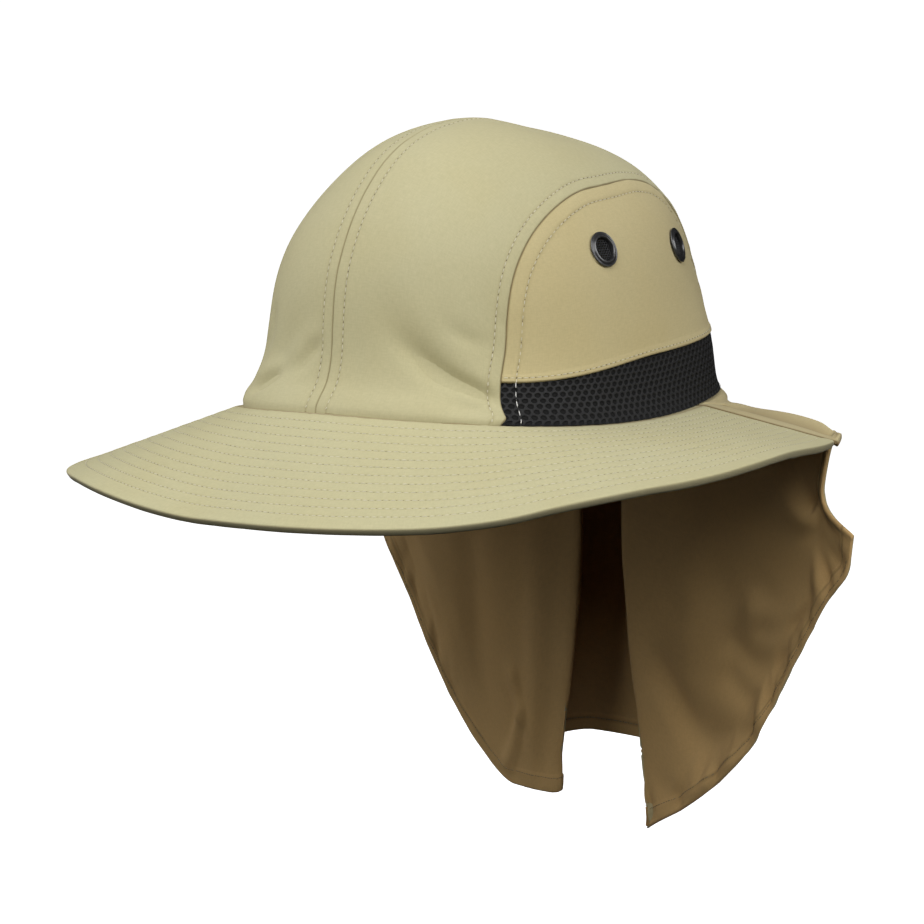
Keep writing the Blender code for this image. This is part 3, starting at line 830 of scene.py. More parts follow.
@dataclass
class CrownForm:
    """Outer face of the crown in every direction from the origin."""

    half_width: float = 76.5 * MM
    front: float = 87.0 * MM
    back: float = 100.0 * MM
    height: float = 108.0 * MM
    plan_squareness: float = 2.3
    profile_squareness: float = 2.7
    top_shift_back: float = 14.0 * MM
    top_slope: float = 0.107
    base_flare: float = 7.0 * MM
    flare_rise: float = 8.0 * MM
    base_arch: float = 3.4 * MM
    base_rear_lift: float = 2.6 * MM
    base_fade: float = 29.0 * MM
    seam_inset: float = 16.0 * MM
    strip_taper: float = 15.0 * MM
    taper_power: float = 6.0
    leg_top: float = math.radians(42.0)
    band_front: float = 15.0 * MM
    band_rear: float = 23.0 * MM
    band_turn: float = 0.56
    cloth: float = 1.2 * MM
    gap: float = 0.3 * MM
    dents: tuple[Dent, ...] = (
        Dent(-42, 50, 20, 18, 0, 0.018),
        Dent(0, 82, 16, 12, 0, -0.010),
        Dent(-24, 11, 15, 4, 40, 0.022),
        Dent(-31, 6, 15, 4, 40, -0.016),
        Dent(30, 13, 14, 4, -38, 0.018),
        Dent(36, 18, 14, 4, -38, -0.010),
    )
    swells: tuple[Swell, ...] = (
        Swell(0, 14, -2.8 * MM), Swell(0, 34, 1.5 * MM), Swell(0, 55, 2.8 * MM), Swell(0, 76, 2.0 * MM),
        Swell(45, 14, -2.5 * MM), Swell(45, 34, 0.6 * MM), Swell(45, 55, -2.8 * MM), Swell(75, 74, -2.5 * MM),
        Swell(135, 34, -2.0 * MM), Swell(135, 55, -1.0 * MM), Swell(140, 9, 3.4 * MM), Swell(40, 1, 2.5 * MM),
    )
    folds: tuple[CrownFold, ...] = (
        CrownFold((17, 20), (46, 4.5), 2.9 * MM, 2.8 * MM),
        CrownFold((28, 27), (41, 17), 1.0 * MM, 3.2 * MM),
        CrownFold((30, 7), (43, 2.8), 1.5 * MM, 2.4 * MM),
        CrownFold((-38, 3.5), (-19, 8.5), 2.6 * MM, 2.6 * MM),
        CrownFold((-20, 8), (-4, 17), 1.4 * MM, 3.2 * MM),
        CrownFold((-34, 12), (-28, 24), 1.1 * MM, 3.0 * MM),
    )
    rear_narrowing: float = 12.0 * MM
    rear_reach: float = 80.0 * MM
    rear_tuck: float = 3.0 * MM
    front_turn: float = 2.8 * MM
    front_turn_rise: float = 4.0 * MM
    turn_azimuth: float = -50.0
    turn_reach: float = 20.0
    tuck_azimuth: float = 95.0
    tuck_fade: float = 35.0

    def plain(self) -> "CrownForm":
        """The same form without the soft changes of its cloth."""
        return replace(self, swells=(), folds=(), rear_narrowing=0.0, rear_tuck=0.0, front_turn=0.0)

    def tuck(self, azimuth: Array) -> Array:
        """How much less the base flares out at the rear, in metres."""
        return self.rear_tuck * ease((np.abs(np.degrees(azimuth)) - self.tuck_azimuth) / self.tuck_fade)

    def turned_under(self, azimuth: Array) -> Array:
        """How far the front's bottom edge is turned under, in metres."""
        return self.front_turn * bell(np.degrees(azimuth) - self.turn_azimuth, self.turn_reach)

    def swell_height(self, azimuth: Array, elevation: Array) -> Array:
        """Sum of the broad swellings at a place, in metres.

        Args:
            azimuth: Azimuth in radians.
            elevation: Elevation in radians.

        Returns:
            The height at each place.
        """
        total = np.zeros_like(elevation)
        for swell in self.swells:
            for side in (1, -1) if swell.azimuth else (1,):
                east = (np.degrees(azimuth) - side * swell.azimuth + 180) % 360 - 180
                east = east * np.cos(np.radians(swell.elevation)) / swell.reach_along
                north = (np.degrees(elevation) - swell.elevation) / swell.reach_across
                total = total + swell.height * np.exp(-(east**2) - north**2)
        return total

    def fold_height(self, azimuth: Array, elevation: Array) -> Array:
        """Sum of the sharp folds at a place, in metres.

        Args:
            azimuth: Azimuth in radians.
            elevation: Elevation in radians.

        Returns:
            The height at each place.
        """
        total = np.zeros_like(elevation)
        span = np.radians(1) * self.front
        for fold in self.folds:
            flat = np.cos(np.radians((fold.start[1] + fold.end[1]) / 2))
            run = np.array([(fold.end[0] - fold.start[0]) * flat, fold.end[1] - fold.start[1]]) * span
            length = np.hypot(*run)
            east = (np.degrees(azimuth) - fold.start[0]) * flat * span
            north = (np.degrees(elevation) - fold.start[1]) * span
            along = (east * run[0] + north * run[1]) / length
            across = (north * run[0] - east * run[1]) / length
            share = np.clip(along / length, 0, 1)
            across = across * np.sign(run[0]) + 0.7 * fold.reach * np.sin(np.pi * share) ** 2
            window = ease(along / (0.75 * length) + 0.15)
            window = window * ease((length - along) / (0.35 * length) + 0.35)
            wide = fold.reach * (1.35 - 0.5 * share)
            valley = bell(across, wide)
            ridge = 0.4 * bell(across - 2.0 * wide, 1.5 * wide)
            total = total + fold.depth * window * (ridge - valley)
        return total

    def dent_depth(self, azimuth: Array, elevation: Array) -> Array:
        """Sum of the dents at a place, in metres.

        Args:
            azimuth: Azimuth in radians.
            elevation: Elevation in radians.

        Returns:
            The depth at each place.
        """
        total = np.zeros_like(elevation)
        for dent in self.dents:
            turn = np.radians(dent.turn)
            east = (np.degrees(azimuth) - dent.azimuth + 180) % 360 - 180
            east = east * np.cos(np.radians(dent.elevation))
            north = np.degrees(elevation) - dent.elevation
            along = (east * np.cos(turn) + north * np.sin(turn)) / dent.reach_along
            across = (north * np.cos(turn) - east * np.sin(turn)) / dent.reach_across
            total = total + dent.depth * np.exp(-(along**2) - across**2)
        return total * self.height

    def base_height(self, azimuth: Array) -> Array:
        """Height of the base line above the origin's plane."""
        return self.base_arch * np.cos(2 * azimuth) - self.base_rear_lift * np.cos(azimuth)

    def point(self, direction: Array) -> Array:
        """Point of the outer face in a direction.

        Args:
            direction: Directions of length one.

        Returns:
            The point in each direction.
        """
        x, y, z = direction[..., 0], direction[..., 1], direction[..., 2]
        azimuth = azimuth_of(direction)
        elevation = np.arctan2(z, np.hypot(x, y))
        half_length = np.where(y < 0, self.front, self.back)
        power = self.plan_squareness
        plan = np.abs(x / self.half_width) ** power + np.abs(y / half_length) ** power
        plan = plan ** (1 / power)
        power = self.profile_squareness
        reach = (plan**power + np.abs(z / self.height) ** power) ** (-1 / power)
        reach = reach - self.dent_depth(azimuth, elevation) + self.swell_height(azimuth, elevation)
        spot = direction * reach[..., None]
        height = spot[..., 2]
        share = height / self.height
        flare = (self.base_flare - self.tuck(azimuth)) / self.half_width
        turned = self.turned_under(azimuth) * bell(height, self.front_turn_rise) / self.half_width
        flare = 1 + flare * np.exp(-height / self.flare_rise) - turned
        lift = self.base_height(azimuth) * np.exp(-height / self.base_fade)
        depth = spot[..., 1] * flare
        raised = height - self.top_slope * depth * share**2 + lift
        return np.stack([spot[..., 0] * flare, depth + self.top_shift_back * share**2, raised], -1)

    def at(self, angles: Array) -> Array:
        """Point of the outer face at an azimuth and an elevation."""
        return self.point(side_direction(angles[..., 0], angles[..., 1]))

    def normal(self, direction: Array) -> Array:
        """Outward normal of the outer face in a direction.

        Args:
            direction: Directions of length one.

        Returns:
            The normal in each direction.
        """
        step = 3e-4
        helper = np.zeros_like(direction)
        helper[..., 0] = 1.0
        first = unit(np.cross(direction, helper + 1e-9))
        second = np.cross(direction, first)
        spans = [
            self.point(unit(direction + step * way)) - self.point(unit(direction - step * way))
            for way in (first, second)
        ]
        normal = unit(np.cross(*spans))
        return normal * np.sign(np.sum(normal * direction, axis=-1, keepdims=True))

    def base_point(self, azimuth: Array) -> Array:
        """Point of the outer face on the base line."""
        return self.point(side_direction(azimuth, np.zeros_like(azimuth)))

    def base_normal(self, azimuth: Array) -> Array:
        """Level outward normal of the base line.

        Args:
            azimuth: Azimuth in radians.

        Returns:
            The normal at each azimuth.
        """
        step = 1e-4
        along = self.base_point(azimuth + step) - self.base_point(azimuth - step)
        normal = np.stack([along[..., 1], -along[..., 0], np.zeros_like(azimuth)], -1)
        facing = np.sign(np.sum(normal * self.base_point(azimuth), axis=-1, keepdims=True))
        return unit(normal) * facing

    def seam_lean(self, travel: Array) -> Array:
        """Lean of the arch seam, where the strip reaches its half width.

        Args:
            travel: Travel from the front, in radians.

        Returns:
            The lean of the seam at each travel.
        """

        def beyond(lean: Array) -> Array:
            """How far the points lie past the strip's half width.

            Args:
                lean: Lean to try at each travel.

            Returns:
                The distance in metres.
            """
            point = self.point(strip_direction(travel, lean))
            high = np.clip(point[..., 2], 0, None)
            flare = self.base_flare - self.tuck(azimuth_of(point))
            width = self.half_width - self.seam_inset + flare * np.exp(-high / self.flare_rise)
            width = width - self.rear_narrowing * ease(point[..., 1] / self.rear_reach)
            return point[..., 0] - width + self.strip_taper * (high / self.height) ** self.taper_power

        return bisect(beyond, np.zeros_like(travel), np.full_like(travel, np.radians(88)))

    def seam_angles(self, travel: Array) -> Array:
        """Azimuth and elevation of the arch seam by its travel."""
        way = strip_direction(travel, self.seam_lean(travel))
        return np.stack([azimuth_of(way), np.arctan2(way[..., 2], np.hypot(way[..., 0], way[..., 1]))], -1)

    def leg_travel(self, height: float, rear: bool) -> float:
        """Travel at which a leg of the arch seam is this high above the base.

        Args:
            height: Height above the base.
            rear: Looks along the rear leg.

        Returns:
            The travel in radians.
        """

        def above(travel: Array) -> Array:
            """How far the leg lies above the wanted height."""
            angles = self.seam_angles(np.pi - travel if rear else travel)
            return self.at(angles)[..., 2] - self.base_height(angles[..., 0]) - height

        travel = bisect(above, np.zeros(1), np.full(1, self.leg_top))[0]
        return float(np.pi - travel if rear else travel)

    def band_top(self, azimuth: Array, share: Array) -> Array:
        """Azimuth and elevation of the mesh band's top edge.

        Args:
            azimuth: Azimuth in radians.
            share: Share of the band's length.

        Returns:
            The edge's angles.
        """
        height = self.band_front + (self.band_rear - self.band_front) * ease(share / self.band_turn)

        def above(elevation: Array) -> Array:
            """How far the crown lies above the wanted height."""
            point = self.point(side_direction(azimuth, elevation))
            return point[..., 2] - self.base_height(azimuth) - height

        found = bisect(above, np.zeros_like(azimuth), np.full_like(azimuth, np.radians(45)))
        return np.stack([azimuth, found], -1)

    def walk(self, angles: Array, inward: Array, distance: float, steps: int = 4) -> Array:
        """Shift a line on the crown sideways along the cloth.

        Args:
            angles: Azimuth and elevation of the line's points.
            inward: A point on the side to walk to.
            distance: How far to walk.
            steps: Number of short steps.

        Returns:
            Azimuth and elevation of the shifted line.
        """
        small = 1e-4
        for _ in range(steps):
            here = self.at(angles)
            slopes = [(self.at(angles + small * way) - here) / small for way in np.eye(2)]
            along = unit(np.gradient(here, axis=0))
            way = unit(np.cross(np.cross(slopes[0], slopes[1]), along))
            way = way * np.sign(np.sum(way * (inward - here), axis=-1, keepdims=True))
            jacobian = np.stack(slopes, -1)
            step = (np.linalg.pinv(jacobian) @ (way * distance / steps)[..., None])[..., 0]
            angles = angles + step
        return angles


@dataclass(frozen=True)
class SeamEdge:
    """How cloth stands beside a seam: turned under, padded, sewn down and puckered."""

    stitch_at: float = 4.8 * MM
    groove: float = 0.30 * MM
    groove_reach: float = 0.55 * MM
    padding: float = 0.28 * MM
    turn_under: float = 0.75 * MM
    turn_reach: float = 0.65 * MM
    pucker: float = 0.20 * MM
    pucker_length: float = 7.0 * MM
    pucker_reach: float = 5.0 * MM
    bulge: float = 0.0
    bulge_at: float = 6.0 * MM
    # Strength of the painted shade along the seam line.
    dark: float = 0.75
    seed: int = 1

    def height(self, distance: Array, along: Array) -> Array:
        """Height of the cloth over its smooth shape.

        Args:
            distance: Distance from the seam.
            along: Place along the seam.

        Returns:
            Height at each place, in metres.
        """
        turn = self.turn_under * np.clip(1 - distance / self.turn_reach, 0, 1) ** 2
        pad = self.padding * (1 - ease((distance - self.stitch_at) / (1.6 * MM)))
        groove = self.groove * bell(distance - self.stitch_at, self.groove_reach)
        place = along / self.pucker_length
        wave = soft_noise(place, distance / (3 * self.pucker_length), self.seed)
        wave = wave + 0.5 * soft_noise(2.3 * place, distance / (2 * self.pucker_length), self.seed + 7)
        window = bell(distance - 0.6 * self.stitch_at, self.pucker_reach)
        bulge = self.bulge * bell(distance - self.bulge_at, 0.8 * self.bulge_at)
        return pad + bulge - turn - groove + self.pucker * wave * window

    def crease(self, distance: Array) -> Array:
        """Painted shade of the seam and of the stitch row, from 0 to 1.

        Args:
            distance: Distance from the seam.

        Returns:
            The shade at each place.
        """
        seam = self.dark * bell(distance, 0.42 * MM)
        row = 0.30 * bell(distance - self.stitch_at, 0.5 * MM)
        return np.clip(seam + row * (self.groove > 0), 0, 1)


@dataclass(frozen=True)
class CrownSeams:
    """The seam edges that the crown's panels share."""

    centre: SeamEdge = SeamEdge(
        stitch_at=5.2 * MM, turn_under=0.35 * MM, turn_reach=0.40 * MM, padding=0.16 * MM, pucker=0.09 * MM,
        dark=0.5, seed=11,
    )
    arch_strip: SeamEdge = SeamEdge(stitch_at=4.8 * MM, turn_under=0.5 * MM, pucker=0.26 * MM, seed=21)
    arch_side: SeamEdge = SeamEdge(stitch_at=6.0 * MM, turn_under=0.5 * MM, pucker=0.22 * MM, seed=31)
    base: SeamEdge = SeamEdge(
        stitch_at=60 * MM, groove=0.0, padding=0.0, turn_under=1.9 * MM, turn_reach=3.4 * MM, pucker=0.3 * MM,
        pucker_length=13 * MM, pucker_reach=18 * MM, bulge=0.9 * MM, seed=41,
    )
    fold: SeamEdge = SeamEdge(
        stitch_at=1.7 * MM, groove=0.16 * MM, groove_reach=0.4 * MM, padding=0.5 * MM, turn_under=0.6 * MM,
        turn_reach=0.5 * MM, pucker=0.05 * MM, seed=51,
    )


def cloth_swell(u: Array, v: Array, seed: int) -> Array:
    """Broad soft unevenness of sewn cloth, in metres."""
    broad = 0.32 * MM * soft_noise(u / (34 * MM), v / (34 * MM), seed)
    return broad + 0.10 * MM * soft_noise(u / (12 * MM), v / (12 * MM), seed + 3)


@dataclass
class StripPanel:
    """Half of the tall strip, from the centre seam to one arch seam."""

    crown: CrownForm
    seams: CrownSeams
    side: Side
    row_step: float = 1.5 * MM
    column_step: float = 2.3 * MM
    centre_rows: tuple[float, ...] = (0.02, 0.35, 0.6, 1.0, 1.7, 2.7, 3.8, 4.6, 5.2, 5.8, 6.8, 8.2, 10.0)
    arch_rows: tuple[float, ...] = (0.02, 0.35, 0.65, 1.1, 1.8, 2.6, 3.5, 4.2, 4.8, 5.4, 6.3, 7.8, 9.8)
    base_rows: tuple[float, ...] = (0.0, 0.3, 0.7, 1.2, 1.8, 2.5, 3.4, 4.6)

    def travels(self) -> Array:
        """Travels of the rows, close together near the base.

        Returns:
            The travel of each row, in radians.
        """
        fine = np.linspace(0, np.pi, 600)
        along = lengths_along(self.crown.point(strip_direction(fine, np.zeros_like(fine))))
        rows = fine_ends(along[-1], np.array(self.base_rows) * MM, self.row_step)
        return np.interp(rows, along, fine)

    def leans(self, travel: Array) -> tuple[Array, Array, Array]:
        """Leans of the columns on each row, and their distances from both seams.

        Args:
            travel: The travel of each row.

        Returns:
            The leans, the distances from the centre seam and those from the arch seam.
        """
        share = np.linspace(0, 1, 160)
        seam = self.crown.seam_lean(travel)
        lean = seam[:, None] * share
        points = self.crown.point(strip_direction(travel[:, None] + 0 * lean, lean))
        along = lengths_along(points.transpose(1, 0, 2)).T
        near, far = np.array(self.centre_rows) * MM, np.array(self.arch_rows) * MM
        middle = int(round((np.mean(along[:, -1]) - near[-1] - far[-1]) / self.column_step))
        rows, from_centre = [], []
        for row, lengths in enumerate(along):
            inner = lengths[-1] - near[-1] - far[-1]
            places = np.concatenate(
                [near, near[-1] + inner * np.arange(1, middle) / middle, lengths[-1] - far[::-1]]
            )
            rows.append(np.interp(places, lengths, lean[row]))
            from_centre.append(places)
        from_centre = np.array(from_centre)
        return np.array(rows), from_centre, along[:, -1:] - from_centre

    def build(self, finish: Material) -> tuple[Piece, list[Row]]:
        """Make the panel's wall.

        Args:
            finish: Finish of the piece.

        Returns:
            The piece, and its stitch rows as points with their normals.
        """
        travel = self.travels()
        lean, from_centre, from_arch = self.leans(travel)
        direction = strip_direction(travel[:, None] + 0 * lean, self.side.value * lean)
        smooth = self.crown.point(direction)
        normals = self.crown.normal(direction)
        for row in (0, -1):
            normals[row] = self.crown.base_normal(azimuth_of(direction[row]))
        along = lengths_along(smooth)
        from_base = np.minimum(along, along[-1] - along)
        seams, run = self.seams, along.mean(axis=1, keepdims=True) + 0 * along
        rise = seams.centre.height(from_centre, run) + seams.arch_strip.height(from_arch, run)
        rise = rise + seams.base.height(from_base, self.side.value * from_centre)
        rise = rise + cloth_swell(from_centre * self.side.value, run, 61)
        elevation = np.arcsin(np.clip(direction[..., 2], -1, 1))
        rise = rise + self.crown.fold_height(azimuth_of(direction), elevation)
        outer = smooth + normals * rise[..., None]
        inner = smooth - normals * self.crown.cloth
        # Painted shade in the centre, arch and base seams and their stitch rows.
        crease = np.maximum(seams.centre.crease(from_centre), seams.arch_strip.crease(from_arch))
        crease = np.maximum(crease, seams.base.crease(from_base))
        uv = np.stack([from_centre, run], -1)
        name = "crown_panel_" + self.side.word
        piece = cloth_wall(name + "_cloth", outer, inner, uv, crease, finish)
        near = int(np.argmin(np.abs(np.array(self.centre_rows) * MM - seams.centre.stitch_at)))
        far = -1 - int(np.argmin(np.abs(np.array(self.arch_rows) * MM - seams.arch_strip.stitch_at)))
        paths = [(outer[5:-5, column], normals[5:-5, column]) for column in (near, far)]
        return piece, paths


@dataclass
class SideWork:
    """One side of the crown: arched panel, mesh band and two eyelets."""

    crown: CrownForm
    seams: CrownSeams
    side: Side
    mesh_cloth: float = 1.6 * MM
    seam_overlap: float = 0.05 * MM
    edge_rows: tuple[float, ...] = (
        0.0, 0.3, 0.6, 1.0, 1.5, 2.0, 2.8, 3.8, 4.8, 5.5, 6.0, 6.5, 7.3, 8.6, 10.4,
    )
    panel_step: float = 2.3 * MM
    panel_height: float = 72.0 * MM
    bore_radius: float = 4.6 * MM
    barrel_wall: float = 0.6 * MM
    below_arch: float = 26.2 * MM
    spacing: float = 55.0 * MM
    shift_back: float = 13.3 * MM

    @cached_property
    def edges(self) -> dict[str, Callable[[Array], Array]]:
        """The patch edges, each as angles by a share from 0 to 1.

        Returns:
            The edges by name.
        """
        crown = self.crown
        front, rear = crown.leg_travel(crown.band_front, False), crown.leg_travel(crown.band_rear, True)
        start, end = crown.leg_top, np.pi - crown.leg_top
        spans = {
            "band_start": (0.0, front), "start": (front, start), "arch": (start, end),
            "end": (rear, end), "band_end": (np.pi, rear),
        }

        def seam(first: float, last: float) -> Callable[[Array], Array]:
            """Part of the arch seam between two travels.

            Args:
                first: Travel of its start.
                last: Travel of its end.

            Returns:
                The edge as a function of its share.
            """
            return lambda share: crown.seam_angles(first + (last - first) * share)

        found = {name: seam(*span) for name, span in spans.items()}
        low = crown.seam_angles(np.array([0.0, np.pi]))[:, 0]
        high = crown.seam_angles(np.array([front, rear]))

        def base(share: Array) -> Array:
            """The base line."""
            return np.stack([low[0] + (low[1] - low[0]) * share, 0 * share], -1)

        def fold(share: Array) -> Array:
            """The panel's lower fold, with its ends on the arch seam.

            Args:
                share: Share of the edge, from the front.

            Returns:
                The edge's angles.
            """
            line = crown.band_top(high[0, 0] + (high[1, 0] - high[0, 0]) * share, share)
            line[0], line[-1] = high[0], high[1]
            return line

        return {**found, "base": base, "fold": fold}

    def patch(self, bottom: str, top: str, start: str, end: str, up: Array, along: Array) -> Array:
        """Fill the space between four edges with a grid of angles.

        Args:
            bottom: Name of the lower edge.
            top: Name of the upper edge.
            start: Name of the front edge.
            end: Name of the rear edge.
            up: Shares up the patch.
            along: Shares along the patch.

        Returns:
            Azimuth and elevation of each grid point.
        """
        edges = self.edges
        low, high = edges[bottom](along), edges[top](along)
        left, right = edges[start](up), edges[end](up)
        up, along = up[:, None, None], along[None, :, None]
        ruled = (1 - up) * low[None] + up * high[None] + (1 - along) * left[:, None] + along * right[:, None]
        corners = (1 - up) * ((1 - along) * low[0] + along * low[-1])
        return ruled - corners - up * ((1 - along) * high[0] + along * high[-1])

    def seam_line(self) -> Array:
        """The arch seam as a fine line of points on the left side."""
        return self.crown.at(self.crown.seam_angles(np.linspace(0, np.pi, 700)))

    def fold_line(self) -> Array:
        """The panel's lower fold as a fine line of points on the left side."""
        return self.crown.at(self.edges["fold"](np.linspace(0, 1, 260)))

    def rise(self, points: Array) -> tuple[Array, Array, Array]:
        """Relief of the arched panel over the smooth crown.

        Args:
            points: Points on the left side.

        Returns:
            Height, painted shade, and the distance from the arch seam.
        """
        from_arch, along_arch = measure_to_line(points, self.seam_line())
        from_fold, along_fold = measure_to_line(points, self.fold_line())
        height = self.seams.arch_side.height(from_arch, along_arch)
        height = height + self.seams.fold.height(from_fold, along_fold)
        seed = 71 if self.side is Side.LEFT else 83
        height = height + cloth_swell(points[..., 1] + 0.2, points[..., 2] + 0.1, seed)
        # Painted shade along the lower fold, at half strength, and in the arch seam.
        crease = 0.5 * self.seams.fold.crease(from_fold)
        return height, np.maximum(self.seams.arch_side.crease(from_arch), crease), from_arch

    def flip(self, vectors: Array) -> Array:
        """Carry points or normals of the left side to this side."""
        return vectors * np.array([self.side.value, 1.0, 1.0])

    def panel(self, finish: Material) -> Piece:
        """Make the arched panel with its two round holes.

        Args:
            finish: Finish of the piece.

        Returns:
            The new object.
        """
        arch = lengths_along(self.crown.at(self.edges["arch"](np.linspace(0, 1, 80))))[-1]
        ends = np.array(self.edge_rows) * MM
        tall, across = (fine_ends(length, ends, self.panel_step) for length in (self.panel_height, arch))
        angles = self.patch("fold", "arch", "start", "end", tall / tall[-1], across / across[-1])
        smooth, normals = self.mirrored(angles)
        height, crease, _ = self.rise(self.flip(smooth))
        keep = self.pulled(smooth, normals)
        outer = keep + normals * height[..., None]
        inner = keep - normals * self.crown.cloth
        columns = lengths_along(smooth.transpose(1, 0, 2)).T
        uv = np.stack([columns, lengths_along(smooth)], -1)
        name = "side_panel_" + self.side.word
        piece = cloth_wall(name + "_cloth", outer, inner, uv, crease, finish)
        for place in (-1, 1):
            centre, normal = self.eyelet_place(place)
            self.cut_hole(piece, centre, normal)
        return piece

    def mirrored(self, angles: Array) -> tuple[Array, Array]:
        """Points and normals of this side for angles given on the left."""
        way = self.flip(side_direction(angles[..., 0], angles[..., 1]))
        return self.crown.point(way), self.crown.normal(way)

    def pulled(self, grid: Array, normals: Array) -> Array:
        """Move the four edges of a grid outward by the seams' overlap.

        Args:
            grid: The grid of points.
            normals: Its normals.

        Returns:
            The moved grid.
        """
        moved = grid.copy()
        picks = [
            ((0, slice(None)), (1, slice(None))), ((-1, slice(None)), (-2, slice(None))),
            ((slice(None), 0), (slice(None), 1)), ((slice(None), -1), (slice(None), -2)),
        ]
        for edge, near in picks:
            along = unit(np.gradient(grid[edge], axis=0))
            across = unit(np.cross(normals[edge], along))
            toward = np.sum(across * (grid[near] - grid[edge]), axis=-1, keepdims=True)
            moved[edge] = moved[edge] - across * np.sign(toward) * self.seam_overlap
        return moved

    def eyelet_place(self, step: int) -> tuple[Array, Array]:
        """Centre and outward normal of an eyelet.

        Args:
            step: The eyelet: -1 in front, 1 behind.

        Returns:
            The centre and the normal.
        """
        plain = self.crown.plain()
        angles = plain.seam_angles(np.array([0.0, np.pi / 2, np.pi]))
        front, top, rear = plain.at(angles)
        target_z = top[2] - self.below_arch
        target_y = (front[1] + rear[1]) / 2 + self.shift_back + step * self.spacing / 2
        direction = unit(np.array([self.crown.half_width * self.side.value, target_y, target_z]))
        for _ in range(60):
            point = self.crown.point(direction)
            miss = np.array([0.0, target_y - point[1], target_z - point[2]])
            direction = unit(direction + miss / np.linalg.norm(point))
        return self.crown.point(direction), self.crown.normal(direction)

    def cut_hole(self, piece: Piece, centre: Array, normal: Array) -> None:
        """Cut a straight round hole for an eyelet's barrel.

        Args:
            piece: The panel.
            centre: Centre of the hole.
            normal: The cloth's normal there.
        """
        radius, deep, count = self.bore_radius + self.barrel_wall + self.crown.gap, 6 * MM, 40
        turns = np.linspace(0, 2 * np.pi, count, endpoint=False)
        ring = [(radius * math.cos(turn), radius * math.sin(turn)) for turn in turns]
        place = standing(centre, normal)
        points = [place @ Vector((x, y, z)) for z in (-deep, deep) for x, y in ring]
        faces = [list(range(count - 1, -1, -1)), list(range(count, 2 * count))]
        faces += [[k, (k + 1) % count, (k + 1) % count + count, k + count] for k in range(count)]
        cutter = add_piece("hole_cutter", np.array(points), faces, piece.data.materials[0])
        cut = piece.modifiers.new("eyelet_hole", "BOOLEAN")
        cut.operation, cut.solver, cut.object = "DIFFERENCE", "EXACT", cutter
        make_plain(piece)
        bpy.data.objects.remove(cutter, do_unlink=True)

    def band_surface(self, depth: float, fine: int = 1) -> tuple[Array, Array, Array, Array]:
        """Grid of the mesh band, set back by a depth.

        Args:
            depth: How far it is set back.
            fine: How much finer the grid is.

        Returns:
            Points, normals, and the shares up and along of the grid.
        """
        up, along = np.linspace(0, 1, 12 * fine + 1), np.linspace(0, 1, 90 * fine + 1)
        angles = self.patch("base", "fold", "band_start", "band_end", up, along)
        smooth, normals = self.mirrored(angles)
        normals[0] = self.crown.base_normal(self.side.value * angles[0, :, 0])
        edge = self.pulled(smooth, normals)
        edge[0] = smooth[0]
        return edge - normals * depth, normals, up, along

    def backing(self, finish: Material) -> Piece:
        """Make the mesh's dense back layer.

        Args:
            finish: Finish of the piece.

        Returns:
            The new object.
        """
        outer, normals, up, along = self.band_surface(0.75 * MM)
        inner = outer - normals * (self.mesh_cloth - 0.75 * MM)
        uv = np.stack([0 * up[:, None] + along, up[:, None] + 0 * along], -1)
        name = "mesh_band_" + self.side.word + "_back"
        return cloth_wall(name, outer, inner, uv, 0 * uv[..., 0], finish)

    def net_base(self) -> Piece:
        """Make the surface that the net is laid on, with its map and its normals.

        Returns:
            The new object.
        """
        grid, normals, up, along = self.band_surface(0.25 * MM, 2)
        rows, columns = grid.shape[:2]
        index = np.arange(rows * columns).reshape(rows, columns)
        name = "mesh_band_" + self.side.word + "_net"
        piece = add_piece(name, grid.reshape(-1, 3), grid_quads(index).tolist(), bpy.data.materials[0])
        place = np.stack([0 * up[:, None] + along, up[:, None] + 0 * along], -1)
        set_uv(piece.data, place.reshape(-1, 2), "place")
        rise = lengths_along(grid)[-1]
        set_attribute(piece.data, "band_rise", np.tile(rise, rows))
        set_attribute(piece.data, "lie", normals.reshape(-1, 3))
        return piece

    def band_length(self) -> float:
        """Length of the mesh band along its middle."""
        grid = self.band_surface(0.0)[0]
        return float(lengths_along(grid[len(grid) // 2])[-1])

    def stitch_paths(self) -> dict[str, list[Row]]:
        """Stitch rows of this side, split into those on tan cloth and on the mesh.

        Returns:
            The rows by the cloth they lie on.
        """
        crown, seams = self.crown, self.seams
        middle = np.array([crown.half_width, 10 * MM, 30 * MM])
        above = middle + np.array([0, 0, 20 * MM])
        arch = crown.walk(crown.seam_angles(np.linspace(0, np.pi, 240)), middle, seams.arch_side.stitch_at)
        fold = crown.walk(self.edges["fold"](np.linspace(0, 1, 160)), above, seams.fold.stitch_at)
        share = np.clip((arch[:, 0] - arch[0, 0]) / (arch[-1, 0] - arch[0, 0]), 0, 1)
        limit = crown.at(crown.band_top(arch[:, 0], share))[:, 2]
        found: dict[str, list[Row]] = {"tan": [], "mesh": []}
        for angles in (arch, fold):
            smooth, normals = self.mirrored(angles)
            left = self.flip(smooth)
            height, _, from_arch = self.rise(left)
            keep = from_arch > 1.5 * MM if angles is fold else left[:, 2] > limit + 0.5 * MM
            found["tan"].append(((smooth + normals * height[:, None])[keep], normals[keep]))
            if angles is arch:
                low = left[:, 2] < limit - 0.5 * MM
                half = np.arange(len(low)) < len(low) / 2
                for part in (low & half, low & ~half):
                    found["mesh"].append(((smooth + normals * 0.05 * MM)[part], normals[part]))
        return found


